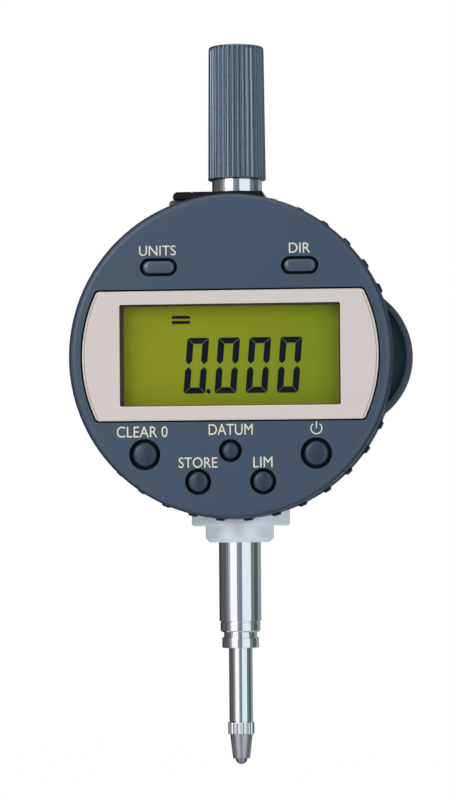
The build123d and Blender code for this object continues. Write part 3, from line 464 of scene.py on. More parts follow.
@dataclass(frozen=True)
class Clear(Finish):
    """Clear window: its surface reflects while nearly all light passes."""

    alpha: float = 0.05

    def build(self, tree: Tree) -> bpy.types.Material:
        """Wiping marks in the gloss only.

        Args:
            tree: the new material's tree.

        Returns:
            The finished material.
        """
        wipes = tree.noise(2.5, 3.0, (0.4, 1.0, 1.0))
        return tree.finish(
            Base_Color=self.colour, Roughness=0.05 + (wipes - 0.4) * 0.06, Alpha=self.alpha,
        )


@dataclass(frozen=True)
class Laminate(Finish):
    """Circuit board or printed film: base colour with thin bright tracks."""

    track: Colour = (0.5, 0.42, 0.2)
    spacing: float = 1.27

    def build(self, tree: Tree) -> bpy.types.Material:
        """Straight tracks along Z, broken up by noise.

        Args:
            tree: the new material's tree.

        Returns:
            The finished material.
        """
        comb = tree.math("PINGPONG", tree.across(), self.spacing / 2)
        track = tree.ramp(comb, self.spacing * 0.36, self.spacing * 0.42)
        breaks = tree.ramp(tree.noise(4.0, 1.0), 0.48, 0.55)
        cover = track * breaks
        weave = tree.noise(0.35, 2.0)
        base = tree.mix(cover, self.colour, self.track)
        return tree.finish(
            Base_Color=base, Roughness=0.4 + (weave - 0.5) * 0.2, Metallic=cover * 0.6,
            Normal=tree.bump(cover + weave * 0.2, 0.02, 0.5),
        )


SLATE = srgb(61, 80, 100)
SLATE_DARK = srgb(52, 68, 85)
STEEL = (0.93, 0.94, 0.95)


class Finishes:
    """The finishes used on the indicator."""

    housing = Moulded("slate_housing", SLATE, roughness=0.35)
    # painted shade: darker slate on the housing's side and the outer part of its rounded edge
    rim = Moulded("slate_rim_painted_shade", srgb(45, 58, 75), roughness=0.35)
    # pill keys: glossier than the round keys, and lighter as a painted highlight
    pills = Moulded(
        "slate_pills_painted_highlight", srgb(62, 77, 94), roughness=0.22, grain=0.25, depth=0.003, specular=1.0
    )
    # painted shade: near black in the key moats and the frame's recess, where shade falls
    moat = Moulded("moat_painted_shade", srgb(14, 25, 43), roughness=0.5, specular=0.1)
    # painted shade: the ribbed ring darker than the housing, for the shade it lies in behind the
    # face
    ring = Moulded("slate_ring_painted_shade", srgb(33, 46, 60), roughness=0.44, specular=0.2)
    tray = Moulded("slate_tray", srgb(50, 67, 82), roughness=0.42)
    # painted light: a lighter teal than the tray inside the crescent recess, against its shade
    crescent = Moulded("tray_crescent_painted_light", srgb(72, 104, 124), roughness=0.5)
    cap = Moulded(
        "slate_cap", srgb(100, 116, 130), roughness=0.27, grain=0.12, depth=0.002, metallic=0.72
    )
    back = Moulded("dark_back", SLATE_DARK, roughness=0.55)
    back_plate = Moulded("painted_plate", srgb(60, 78, 95), roughness=0.5, grain=0.3, depth=0.03)
    port = Moulded("port_block", srgb(40, 40, 52), roughness=0.45)
    gloss = Moulded("gloss_black", srgb(22, 23, 26), roughness=0.16, depth=0.002)
    # black for the chips, socket and carrier; on the frame's upright walls it is painted shade
    inner = Moulded("inner_black_and_painted_shade", srgb(34, 32, 32), roughness=0.6)
    lips = Moulded("readout_lips", srgb(82, 71, 65), roughness=0.65)
    white_plastic = Moulded("white_glide", srgb(225, 225, 220), roughness=0.35)
    keys = Moulded(
        "slate_keys", srgb(40, 54, 73), roughness=0.3, grain=0.25, depth=0.003, specular=0.55
    )
    cover = Rubber("cover_rubber", srgb(42, 41, 58))
    black_rubber = Rubber("black_rubber", srgb(30, 30, 31))
    grey_rubber = Rubber("grey_rubber", srgb(110, 110, 114))
    striped_rubber = Rubber("striped_rubber", srgb(190, 170, 195))
    felt = Rubber("felt", srgb(60, 57, 55), roughness=0.95)
    chrome = Turned("polished_stem", STEEL, roughness=0.06)
    spindle = Turned("ground_spindle", STEEL, roughness=0.05)
    knurl = Turned("fluted_collar", STEEL, roughness=0.12)
    steel = Turned("small_steel", (0.62, 0.62, 0.63), roughness=0.25)
    brass = Turned("bush_brass", (0.72, 0.55, 0.28), roughness=0.22)
    contact = Cast("contact_matt", srgb(180, 175, 183), roughness=0.3, metallic=0.8)
    ball = Turned("ball_carbide", (0.25, 0.23, 0.25), roughness=0.2)
    casting = Cast("silver_casting", srgb(233, 244, 254), roughness=0.4, metallic=0.2)
    frame = Satin("beige_frame", srgb(214, 205, 202))
    # painted highlight: lighter cream on the frame's bevels
    cream = Satin("cream_edge_painted_highlight", srgb(240, 230, 214))
    film = Readout("readout_film", srgb(150, 160, 30), right=srgb(136, 152, 30))
    segment = Ink("readout_segment", srgb(6, 16, 34), roughness=0.6)
    marking = Ink("cream_print", srgb(230, 224, 204))
    outline = Ink("frame_outline", srgb(138, 120, 106))
    lens = Clear("window_clear", (0.02, 0.03, 0.02), alpha=0.03)
    board = Laminate("circuit_board", (0.02, 0.16, 0.07))
    amber = Laminate("amber_film", (0.42, 0.2, 0.04), track=(0.5, 0.25, 0.1), spacing=0.5)


# Surfaces worked out with numpy


CRISP = 38.0  # degrees by which a built surface turns at an edge that stays crisp
FLAT_CRISP = 30.0  # the same for flat plates and prints
CAD_CRISP = 25.0  # the same for the copies of CAD nodes
BEVEL_ANGLE = 40.0  # degrees by which a copy turns at an edge that is softened


def join_grid(
    name: str, points: np.ndarray, close_rows: bool = False, close_columns: bool = True,
    sharp: float = CRISP,
) -> bpy.types.Object:
    """Mesh over a grid of points, with quads between neighbours.

    Args:
        name: the object's name.
        points: array of rows, columns and coordinates, in millimetres.
        close_rows: joins the last row to the first.
        close_columns: joins the last column to the first.
        sharp: edges that turn by more than this many degrees stay crisp.

    Returns:
        The new object, welded and with its faces turned outwards.
    """
    rows, columns = points.shape[:2]
    index = np.arange(rows * columns).reshape(rows, columns)
    down = np.roll(index, -1, 0) if close_rows else index[1:]
    here = index if close_rows else index[:-1]
    right_here = np.roll(here, -1, 1) if close_columns else here[:, 1:]
    right_down = np.roll(down, -1, 1) if close_columns else down[:, 1:]
    span = columns if close_columns else columns - 1
    faces = np.stack([here[:, :span], right_here, right_down, down[:, :span]], -1).reshape(-1, 4)
    return make_object(name, points.reshape(-1, 3), faces.tolist(), sharp)


def make_object(
    name: str, points: np.ndarray, faces: Sequence[Sequence[int]], sharp: float = CRISP
) -> bpy.types.Object:
    """Object from points and faces.

    Args:
        name: the object's name.
        points: one row of coordinates each, in millimetres.
        faces: the points' numbers round each face.
        sharp: edges that turn by more than this many degrees stay crisp.

    Returns:
        The new object, welded and with its faces turned outwards.
    """
    mesh = bpy.data.meshes.new(name)
    mesh.from_pydata((np.asarray(points, float) * MM).tolist(), [], faces)
    return finish_mesh(name, mesh, sharp)


def finish_mesh(name: str, mesh: bpy.types.Mesh, sharp: float) -> bpy.types.Object:
    """Welds a mesh, turns its faces outwards, shades it and links an object for it.

    Args:
        name: the object's name.
        mesh: its mesh, in metres.
        sharp: edges that turn by more than this many degrees stay crisp.

    Returns:
        The new object.
    """
    work = bmesh.new()
    work.from_mesh(mesh)
    bmesh.ops.remove_doubles(work, verts=work.verts, dist=1e-7)
    bmesh.ops.dissolve_degenerate(work, dist=1e-8, edges=work.edges)
    bmesh.ops.recalc_face_normals(work, faces=work.faces)
    work.to_mesh(mesh)
    work.free()
    mesh.polygons.foreach_set("use_smooth", np.ones(len(mesh.polygons), bool))
    mesh.set_sharp_from_angle(angle=math.radians(sharp))
    made = bpy.data.objects.new(name, mesh)
    bpy.context.scene.collection.objects.link(made)
    return made


def rounded(corners: Sequence[Triple], steps: int = 5) -> np.ndarray:
    """Open profile whose inner corners are turned to arcs.

    Each corner (x, y, r) with r above 0 becomes a circular arc of radius r that touches both of
    its sides, sampled at equal angles.

    Args:
        corners: x, y and radius of each corner.
        steps: arc segments at each rounded corner.

    Returns:
        Array of points, one row each.
    """
    made = []
    for index, (x, y, radius) in enumerate(corners):
        here = np.array([x, y])
        if radius <= 0 or index in (0, len(corners) - 1):
            made.append(here[None])
            continue
        before = np.array(corners[index - 1][:2]) - here
        after = np.array(corners[index + 1][:2]) - here
        before, after = before / np.linalg.norm(before), after / np.linalg.norm(after)
        half = math.acos(float(np.clip(before @ after, -1, 1))) / 2
        centre = here + (before + after) / np.linalg.norm(before + after) * radius / math.sin(half)
        first = here + before * radius / math.tan(half) - centre
        last = here + after * radius / math.tan(half) - centre
        turn = math.acos(float(np.clip(first @ last / radius**2, -1, 1)))
        share = np.linspace(0, 1, steps + 1)[:, None]
        arc = (np.sin((1 - share) * turn) * first + np.sin(share * turn) * last) / math.sin(turn)
        made.append(centre + arc)
    return np.concatenate(made)


def circle(steps: int) -> np.ndarray:
    """Equal angles once round, in radians, without the last one."""
    return np.linspace(0, 2 * math.pi, steps, endpoint=False)


def turned(
    profile: np.ndarray, angle: np.ndarray, cut: Union[float, np.ndarray] = 0.0
) -> np.ndarray:
    """Turns a profile round the Z axis: x = (r - c) cos a, y = (r - c) sin a, z = h.

    Args:
        profile: radius r and height h, one row each, in millimetres.
        angle: the angles a.
        cut: depth c that is taken off the radius, one for all or one for each point.

    Returns:
        Grid of points.
    """
    reach, height = profile[:, 0:1] - cut, profile[:, 1:2] + 0 * angle
    return np.stack([reach * np.cos(angle), reach * np.sin(angle), height], -1)


def fluting(count: int, angle: np.ndarray, power: float) -> np.ndarray:
    """Share of the flutes' depth at each angle a: (0.5 + 0.5 cos n a) to a power."""
    return (0.5 + 0.5 * np.cos(count * angle)) ** power


def lathe(
    name: str, profile: np.ndarray, steps: int = 96, closed: bool = True
) -> bpy.types.Object:
    """Plain turned piece."""
    return join_grid(name, turned(profile, circle(steps)), close_rows=closed)


def tube(
    name: str, path: np.ndarray, radius: float, closed: bool = False, sides: int = 8
) -> bpy.types.Object:
    """Round wire along a path.

    At each point the tangent t, the side vector s = t x k and the up vector s x t span the ring
    p + r (cos a s + sin a (s x t)).

    Args:
        name: the object's name.
        path: points in millimetres.
        radius: the wire's radius.
        closed: whether the path returns to its start.
        sides: corners of the wire's ring.

    Returns:
        The wire.
    """
    if closed:
        tangent = np.roll(path, -1, 0) - np.roll(path, 1, 0)
    else:
        tangent = np.gradient(path, axis=0)
    tangent /= np.linalg.norm(tangent, axis=1, keepdims=True)
    reference = np.array([0.0, 1.0, 0.0]) if closed else np.array([0.0, 0.0, 1.0])
    side = np.cross(tangent, reference)
    side /= np.linalg.norm(side, axis=1, keepdims=True)
    up = np.cross(side, tangent)
    angle = circle(sides)[None, :, None]
    rings = path[:, None] + radius * (np.cos(angle) * side[:, None] + np.sin(angle) * up[:, None])
    if not closed:
        ends = [np.repeat(path[:1, None], sides, 1), np.repeat(path[-1:, None], sides, 1)]
        rings = np.concatenate([ends[0], rings, ends[1]])
    return join_grid(name, rings, close_rows=closed, sharp=60.0)


def on_face(points: np.ndarray) -> np.ndarray:
    """Lays (across, up, depth in front of the spindle axis) round the display's centre."""
    across, up, front = points[..., 0], points[..., 1], points[..., 2]
    return np.stack([across, -front, up + DISPLAY_Z], -1)


def prism(name: str, outline: np.ndarray, back: float, front: float) -> bpy.types.Object:
    """Flat closed plate on the display: an outline carried from one depth to another.

    Args:
        name: the object's name.
        outline: its corners, across and up from the display's centre, in millimetres.
        back: depth of its back in front of the spindle axis.
        front: depth of its front.

    Returns:
        The plate.
    """
    count = len(outline)
    near = np.column_stack([outline, np.full(count, front)])
    far = np.column_stack([outline, np.full(count, back)])
    ring = np.arange(count)
    after = np.roll(ring, -1)
    sides = np.stack([ring, after, after + count, ring + count], -1).tolist()
    faces = sides + [ring.tolist(), (ring + count)[::-1].tolist()]
    return make_object(name, on_face(np.concatenate([near, far])), faces, FLAT_CRISP)


def merge(name: str, parts: Sequence[bpy.types.Object]) -> bpy.types.Object:
    """Joins several new objects into one.

    Args:
        name: the joined object's name.
        parts: the objects, which are removed.

    Returns:
        The joined object.
    """
    work = bmesh.new()
    for part in parts:
        work.from_mesh(part.data)
        bpy.data.objects.remove(part)
    mesh = bpy.data.meshes.new(name)
    work.to_mesh(mesh)
    work.free()
    made = bpy.data.objects.new(name, mesh)
    bpy.context.scene.collection.objects.link(made)
    return made


def smooth_copy(node: str, name: str, bevel: float = 0.0) -> bpy.types.Object:
    """Welded and smoothly shaded copy of a CAD node, with its edges softened by a small bevel.

    Args:
        node: the CAD node.
        name: the copy's name.
        bevel: width of the softened edge, in millimetres.

    Returns:
        The copy, which stands for the node.
    """
    mesh = frame["nodes"][node].data.copy()
    mesh.materials.clear()
    if mesh.has_custom_normals:
        mesh.attributes.remove(mesh.attributes["custom_normal"])
    made = finish_mesh(name, mesh, CAD_CRISP)
    if bevel:
        softener = made.modifiers.new("soft_edges", "BEVEL")
        softener.width = bevel * MM
        softener.segments = 2
        softener.limit_method = "ANGLE"
        softener.angle_limit = math.radians(BEVEL_ANGLE)
        softener.use_clamp_overlap = True
        softener.harden_normals = True
    weigher = made.modifiers.new("flat_faces", "WEIGHTED_NORMAL")
    weigher.keep_sharp = True
    return made


def dress(
    piece: bpy.types.Object, finish: Finish, body: str, replaces: Sequence[str] = ()
) -> bpy.types.Object:
    """Gives a new piece its finish and body, and hides the CAD nodes that it stands for.

    Args:
        piece: the piece.
        finish: its finish.
        body: the body that it rides on.
        replaces: the CAD nodes that it stands for.

    Returns:
        The piece.
    """
    piece.data.materials.clear()
    piece.data.materials.append(finish.material())
    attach(piece, body)
    if replaces:
        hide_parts(*replaces)
    LOG.info("%s: %s on %s, %d faces", piece.name, finish.name, body, len(piece.data.polygons))
    return piece


def recolour(
    piece: bpy.types.Object, finish: Finish, chosen: Callable[[np.ndarray, np.ndarray], np.ndarray]
) -> None:
    """Gives some faces of a dressed piece a finish of their own.

    Args:
        piece: the dressed piece.
        finish: the further finish.
        chosen: tells from the faces' middles, in millimetres, and their normals which ones get it.
    """
    count = len(piece.data.polygons)
    middles, normals = np.zeros(count * 3), np.zeros(count * 3)
    piece.data.polygons.foreach_get("center", middles)
    piece.data.polygons.foreach_get("normal", normals)
    slots = np.zeros(count, np.int32)
    piece.data.polygons.foreach_get("material_index", slots)
    slots[chosen(middles.reshape(-1, 3) / MM, normals.reshape(-1, 3))] = len(piece.data.materials)
    piece.data.materials.append(finish.material())
    piece.data.polygons.foreach_set("material_index", slots)


@dataclass
class Soft:
    """A softened copy that stands for one CAD node."""

    node: str
    name: str
    finish: Finish
    body: str
    slot: str
    bevel: float = 0.0

    def copy(self) -> bpy.types.Object:
        """The copy, without its finish."""
        return smooth_copy(self.node, self.name, self.bevel)

    def dress(self, piece: Optional[bpy.types.Object] = None) -> bpy.types.Object:
        """Dresses the copy given, or a new one."""
        return dress(piece or self.copy(), self.finish, self.body, [self.node])


def paint(node: str, finish: Finish) -> None:
    """Gives a CAD node, which stays as it is, its finish.

    Args:
        node: the node's name.
        finish: its finish.
    """
    mesh = frame["nodes"][node].data
    mesh.materials.clear()
    mesh.materials.append(finish.material())
    LOG.info("%s: %s on the CAD node", node, finish.name)


# Sub-assemblies


class Depth(Enum):
    """Depths in front of the spindle axis, in millimetres."""

    FACE = 19.5
    READOUT = 15.9
    KEY_FLANGE = 17.5


@dataclass
class Cap:
    """Fluted cap over the upper end of the spindle."""

    bottom: float = 68.9
    height: float = 25.5
    bottom_radius: float = 5.5
    top_radius: float = 5.25
    bore_radius: float = 3.6
    mouth_radius: float = 4.35
    mouth_height: float = 5.3
    wall: float = 1.6
    flutes: int = 33
    flute_depth: float = 0.36
    rim: float = 0.12
    dome: float = 1.1
    flute_power: float = 1.6
    flute_end: float = 0.45
    fade: float = 0.25
    inner_rows: int = 20
    steps: int = 14

    def build(self) -> bpy.types.Object:
        """Profile turned round Z, its radius cut by the flutes.

        The radius at angle a is r - d m (0.5 + 0.5 cos n a) ** p, where n is the number of
        flutes, d their depth, p their power, and m fades from 0 at the rim and the dome to 1
        between them and is 0 on the rows of the bore.

        Returns:
            The cap.
        """
        top = self.bottom + self.height
        roof = top - self.wall
        corners = [
            (0.0, roof, 0), (self.bore_radius, roof, 0.4),
            (self.bore_radius, self.bottom + self.mouth_height, 0.1),
            (self.mouth_radius, self.bottom + self.mouth_height, 0.1),
            (self.mouth_radius, self.bottom, 0.1),
            (self.bottom_radius, self.bottom, 0.08),
            (self.bottom_radius, self.bottom + self.rim, 0.0),
            (self.bottom_radius - 0.01, self.bottom + self.rim * 2, 0.0),
            (self.top_radius + 0.02, top - self.dome * 1.5, 0.0),
            (self.top_radius, top - self.dome, 0.0), (self.top_radius, top - self.dome * 0.7, 0.0),
            (self.top_radius - 0.03, top - 0.3, 0.4), (self.top_radius - self.dome * 1.6, top, 1.2),
            (0.0, top, 0),
        ]
        profile = rounded(corners)
        height = profile[:, 1:2]
        outside = (np.arange(len(profile)) > self.inner_rows)[:, None]
        low = np.clip((height - self.bottom - self.rim) / self.rim, 0, 1)
        high = np.clip((top - self.dome * self.flute_end - height) / self.fade, 0, 1)
        mask = outside * low * high
        angle = circle(self.flutes * self.steps)
        cut = self.flute_depth * mask * fluting(self.flutes, angle, self.flute_power)
        return join_grid("fluted_cap", turned(profile, angle, cut), sharp=45.0)

    def dress(self) -> None:
        """Puts the cap on its body."""
        dress(self.build(), Finishes.cap, "cap", ["spindle_cap"])


@dataclass
class Shaft:
    """Bright turned pieces on the spindle axis: stem, ring nut, upper bush and spindle."""

    stem_radius: float = 4.0
    stem_seat: float = 3.7
    seat_top: float = 9.0
    stem_bore: float = 2.85
    groove_top: float = -15.0
    groove_bottom: float = -15.3
    groove_radius: float = 3.7
    band_radius: float = 3.8
    stem_end: float = -17.1
    neck_radius: float = 3.15
    neck_end: float = -18.1
    nut_radius: float = 3.5
    nut_end: float = -20.1
    nut_bore: float = 2.58
    wiper_seat: float = 2.85
    wiper_top: float = -19.2
    bush_radius: float = 3.5
    bush_bore: float = 2.28
    bush_bottom: float = 53.0
    flange_bottom: float = 66.35
    flange_top: float = 68.9
    flange_radius: float = 4.75
    spigot_radius: float = 4.3
    spigot_top: float = 73.9
    spindle_radius: float = 2.25
    spindle_top: float = 75.7
    spindle_end: float = -34.1
    spindle_bore: float = 1.25
    bore_depth: float = 5.8
    nut_seam: float = -18.6
    bush_seam: float = 60.0
    steps: int = 128

    def stem(self) -> bpy.types.Object:
        """Clamping stem: seat, ground cylinder, groove, band and neck, as a closed profile.

        Returns:
            The stem.
        """
        corners = [
            (self.stem_bore, 0.0, 0), (self.stem_bore, self.seat_top, 0.05),
            (self.stem_seat, self.seat_top, 0.1), (self.stem_seat, 0.0, 0.0),
            (self.stem_radius, 0.0, 0.0), (self.stem_radius, self.groove_top, 0.1),
            (self.groove_radius, self.groove_top, 0.05),
            (self.groove_radius, self.groove_bottom, 0.05),
            (self.band_radius, self.groove_bottom, 0.08),
            (self.band_radius, self.stem_end + 0.3, 0.1),
            (self.band_radius - 0.3, self.stem_end, 0.1),
            (self.neck_radius, self.stem_end, 0.05), (self.neck_radius, self.neck_end, 0.0),
            (self.stem_bore, self.neck_end, 0.0),
        ]
        return lathe("clamping_stem", rounded(corners, 4), self.steps)

    def ring_nut(self) -> bpy.types.Object:
        """Ring nut with its seat for the felt, as a closed profile.

        Returns:
            The ring nut.
        """
        corners = [
            (self.wiper_seat, self.nut_seam, 0), (self.wiper_seat, self.neck_end, 0.0),
            (self.nut_radius, self.neck_end, 0.2), (self.nut_radius, self.nut_end, 0.2),
            (self.nut_bore, self.nut_end, 0.12), (self.nut_bore, self.wiper_top, 0.0),
            (self.wiper_seat, self.wiper_top, 0.0),
        ]
        return lathe("stem_ring_nut", rounded(corners, 4), self.steps)

    def upper_bush(self) -> bpy.types.Object:
        """Upper bush: shank, flange and spigot, as a closed profile.

        Returns:
            The bush.
        """
        corners = [
            (self.bush_bore, self.bush_seam, 0), (self.bush_bore, self.bush_bottom, 0.1),
            (self.bush_radius, self.bush_bottom, 0.1), (self.bush_radius, self.flange_bottom, 0.0),
            (self.flange_radius, self.flange_bottom, 0.12),
            (self.flange_radius, self.flange_top, 0.12),
            (self.spigot_radius, self.flange_top, 0.05),
            (self.spigot_radius, self.spigot_top, 0.3),
            (self.bush_bore, self.spigot_top, 0.15),
        ]
        return lathe("flanged_bush", rounded(corners, 4), self.steps)

    def spindle(self) -> bpy.types.Object:
        """Spindle rod with its end bore and rounded top.

        Returns:
            The rod.
        """
        corners = [
            (0.0, self.spindle_end + self.bore_depth, 0),
            (self.spindle_bore, self.spindle_end + self.bore_depth, 0),
            (self.spindle_bore, self.spindle_end, 0.05),
            (self.spindle_radius, self.spindle_end, 0.12),
            (self.spindle_radius, self.spindle_top, 0.4), (0.0, self.spindle_top, 0),
        ]
        return lathe("ground_spindle_rod", rounded(corners, 4), closed=False)

    def dress(self) -> None:
        """Puts the turned pieces on their bodies."""
        builds = {"stem": self.stem, "ring_nut": self.ring_nut, "upper_bush": self.upper_bush}
        for node, build in builds.items():
            dress(build(), Finishes.chrome, "case", [node])
        dress(self.spindle(), Finishes.spindle, "spindle", ["spindle_rod"])


@dataclass
class Contact:
    """Contact point with its fluted collar, matt cone and ball."""

    top: float = -34.1
    washer_gap: float = 0.2
    stud_radius: float = 1.23
    stud_top: float = -28.6
    collar_radius: float = 2.525
    collar_length: float = 2.2
    cone_radius: float = 2.175
    end_radius: float = 1.6
    cone_length: float = 4.7
    ball_radius: float = 1.15
    ball_seat: float = 0.05
    flutes: int = 20
    flute_depth: float = 0.17
    flute_power: float = 1.3
    fluted_edge: float = 0.13
    steps: int = 12

    def collar_end(self) -> float:
        """Height of the collar's lower side."""
        return self.top - self.washer_gap - self.collar_length

    def point(self) -> bpy.types.Object:
        """Stud and fluted collar, whose radius is r - d (0.5 + 0.5 cos n a) ** p.

        Returns:
            The stud with its collar.
        """
        top, end = self.top - self.washer_gap, self.collar_end()
        corners = [
            (0.0, self.stud_top, 0), (self.stud_radius, self.stud_top, 0.15),
            (self.stud_radius, self.top, 0.0), (self.cone_radius, self.top, 0.0),
            (self.cone_radius, top, 0.05), (self.collar_radius, top, 0.12),
            (self.collar_radius, top - 0.2, 0.0), (self.collar_radius, end + 0.2, 0.0),
            (self.collar_radius, end, 0.12), (self.cone_radius, end, 0.0), (0.0, end, 0),
        ]
        profile = rounded(corners, 4)
        outer = (profile[:, 0:1] > self.collar_radius - self.fluted_edge) * 1.0
        angle = circle(self.flutes * self.steps)
        cut = outer * self.flute_depth * fluting(self.flutes, angle, self.flute_power)
        return join_grid("contact_collar", turned(profile, angle, cut), sharp=50.0)

    def cone(self) -> bpy.types.Object:
        """Matt cone with its rounded lower edge and the cup of the ball.

        Returns:
            The cone.
        """
        top = self.collar_end()
        end = top - self.cone_length
        corners = [
            (0.0, top - 0.01, 0), (self.cone_radius, top - 0.01, 0.08),
            (self.end_radius + 0.02, end, 0.28), (self.ball_radius + 0.02, end, 0.03),
            (self.ball_radius, end + 0.25, 0.0), (0.0, end + 1.2, 0),
        ]
        return lathe("contact_cone", rounded(corners, 4), closed=False)

    def ball(self) -> bpy.types.Object:
        """Ball: (r sin t cos a, r sin t sin a, -r cos t).

        Returns:
            The ball.
        """
        centre = self.collar_end() - self.cone_length + self.ball_seat
        turn = np.linspace(0, math.pi, 33)
        profile = np.column_stack(
            [self.ball_radius * np.sin(turn), centre - self.ball_radius * np.cos(turn)]
        )
        return lathe("contact_tip", profile, 64, closed=False)

    def dress(self) -> None:
        """Puts the contact's pieces on the spindle."""
        collar = dress(self.point(), Finishes.knurl, "spindle", ["contact_point"])
        cone = dress(self.cone(), Finishes.contact, "spindle", ["contact_point"])
        ball = dress(self.ball(), Finishes.ball, "spindle", ["contact_ball"])
        for piece in (collar, cone, ball):
            piece["part"] = "contact"


@dataclass
class Key:
    """One rubber key: its place from the display's centre, and its outline."""

    node: str
    slot: str
    x: float
    z: float
    wide: float
    tall: float


@dataclass
class Keypad:
    """The seven keys, as soft crowned caps."""

    rise: float = 0.21
    crown: float = 0.23
    edge: float = 0.7
    flange: float = 0.5
    flange_back: float = 16.8
    edge_share: float = 0.6
    crown_parts: tuple = (0.3, 0.45, 0.6, 0.75, 0.9, 1.0)
    steps: int = 72
    keys: tuple = (
        Key("key_unit", "key_rubber_unit", -13.05, 16.5, 5.9, 2.35),
        Key("key_sign", "key_rubber_sign", 13.05, 16.5, 5.9, 2.35),
        Key("key_zero", "key_rubber_zero", -15.85, -18.05, 4.5, 4.5),
        Key("key_reference", "key_rubber_reference", 0.0, -17.45, 3.05, 3.05),
        Key("key_power", "key_rubber_power", 15.85, -18.05, 4.5, 4.5),
        Key("key_mode", "key_rubber_mode", -6.0, -23.15, 3.75, 3.75),
        Key("key_limit", "key_rubber_limit", 6.0, -23.15, 3.75, 3.75),
    )

    def build(self, key: Key) -> bpy.types.Object:
        """Domed profile carried round a stadium.

        With h half the key's height and a half its straight length, the point at angle t and inset
        d is (a sign(cos t) + (h - d) cos t, (h - d) sin t). The inset runs from the middle of the
        back over the flange and the wall to the crown, whose height c (1 - (1 - d / h) ** 2) above
        its edge peaks on the middle line.

        Args:
            key: the key to build.

        Returns:
            The key.
        """
        half = key.tall / 2
        straight = (key.wide - key.tall) / 2
        front = Depth.FACE.value + self.rise
        edge = min(self.edge, half * self.edge_share)
        corners = [
            (half, self.flange_back, 0), (-self.flange, self.flange_back, 0.1),
            (-self.flange, Depth.KEY_FLANGE.value, 0.1), (0.0, Depth.KEY_FLANGE.value, 0.1),
            (0.0, front, edge),
        ]
        corners += [
            (half * part, front + self.crown * (1 - (1 - part) ** 2), 0.0)
            for part in self.crown_parts
        ]
        profile = rounded(corners, 8)
        inset, depth = profile[:, 0:1], profile[:, 1:2]
        angle = circle(self.steps) + math.pi / self.steps
        side = np.sign(np.cos(angle)) * straight
        across = key.x + side + (half - inset) * np.cos(angle)
        up = key.z + (half - inset) * np.sin(angle)
        points = on_face(np.stack([across, up, depth + 0 * angle], -1))
        return join_grid(key.node + "_cap", points, sharp=50.0)

    def dress(self) -> None:
        """Puts each key on its own body."""
        for key in self.keys:
            # the pill keys take a lighter copy of the key colour, a painted highlight
            finish = Finishes.pills if key.wide > key.tall else Finishes.keys
            dress(self.build(key), finish, key.node, [key.node])


@dataclass
class Readout7:
    """Seven-segment readout: four zeros with a point after the first, and two short bars."""

    height: float = 10.32
    width: float = 4.05
    upright: float = 1.19
    level: float = 1.12
    hair: float = 0.05
    clip: float = 0.28
    middle_gap: float = 0.48
    slant: float = 0.08
    lefts: tuple = (-8.95, -3.18, 2.59, 8.36)
    bottom: float = -6.74
    point_radius: float = 0.42
    point_gap: float = 0.62
    bar_left: float = -11.0
    bar_bottom: float = 6.2
    bar_length: float = 3.4
    bar_height: float = 0.55
    bar_pitch: float = 0.95
    film: float = 0.02

    def digit(self, left: float) -> list[np.ndarray]:
        """Outlines of a zero: two level and four upright segments.

        A level segment meets its uprights on mitres from the clipped outer corner to the inner
        one, a hair apart. At half height the uprights end in points on their own middle lines.

        Args:
            left: the digit's left side at its foot.

        Returns:
            Outlines, before slanting.
        """
        wide, high, corner, hair = self.width, self.height, self.clip, self.hair
        tip = (high + self.middle_gap) / 2
        shoulder = tip + self.upright / 2
        top = np.array([
            (corner, high), (wide - corner, high),
            (wide - corner / 2 - hair, high - corner / 2),
            (wide - self.upright - hair, high - self.level),
            (self.upright + hair, high - self.level),
            (corner / 2 + hair, high - corner / 2),
        ])
        upper = np.array([
            (0, high - corner), (corner / 2, high - corner / 2 - hair),
            (self.upright, high - self.level - hair), (self.upright, shoulder),
            (self.upright / 2, tip), (0, shoulder),
        ])
        across, upside = np.array([(-1, 1), (wide, 0)]), np.array([(1, -1), (0, high)])
        both = [upper, upper * across[0] + across[1]]
        outlines = [top, *both] + [outline * upside[0] + upside[1] for outline in (top, *both)]
        return [outline + (left, self.bottom) for outline in outlines]

    def slanted(self, outline: np.ndarray) -> np.ndarray:
        """Leans an outline to the right by its height above the digits' foot."""
        lean = (outline[:, 1] - self.bottom) * self.slant
        return np.column_stack([outline[:, 0] + lean, outline[:, 1]])

    def dress(self) -> None:
        """Lays the digits, the point and the two bars on the readout's film."""
        back, front = Depth.READOUT.value, Depth.READOUT.value + self.film
        parts = []
        for number, left in enumerate(self.lefts):
            for outline in self.digit(left):
                parts.append(prism(f"digit_{number}", self.slanted(outline), back, front))
        turn = circle(28)
        centre = (self.lefts[0] + self.width + self.point_gap, self.bottom + self.point_radius)
        dot = np.array(centre) + self.point_radius * np.column_stack([np.cos(turn), np.sin(turn)])
        parts.append(prism("point", dot, back, front))
        dress(merge("readout_digits", parts), Finishes.segment, "display")
        bar = np.array([(0, 0), (1, 0), (1, 1), (0, 1)]) * (self.bar_length, self.bar_height)
        bars = [
            prism("bar", bar + (self.bar_left, self.bar_bottom + self.bar_pitch * row), back, front)
            for row in range(2)
        ]
        dress(merge("readout_unit_bars", bars), Finishes.segment, "display")


@dataclass
class Mark:
    """One printed mark on the face: its words, middle, cap height and squeeze in width."""

    name: str
    words: str
    x: float
    z: float
    height: float
    squeeze: float


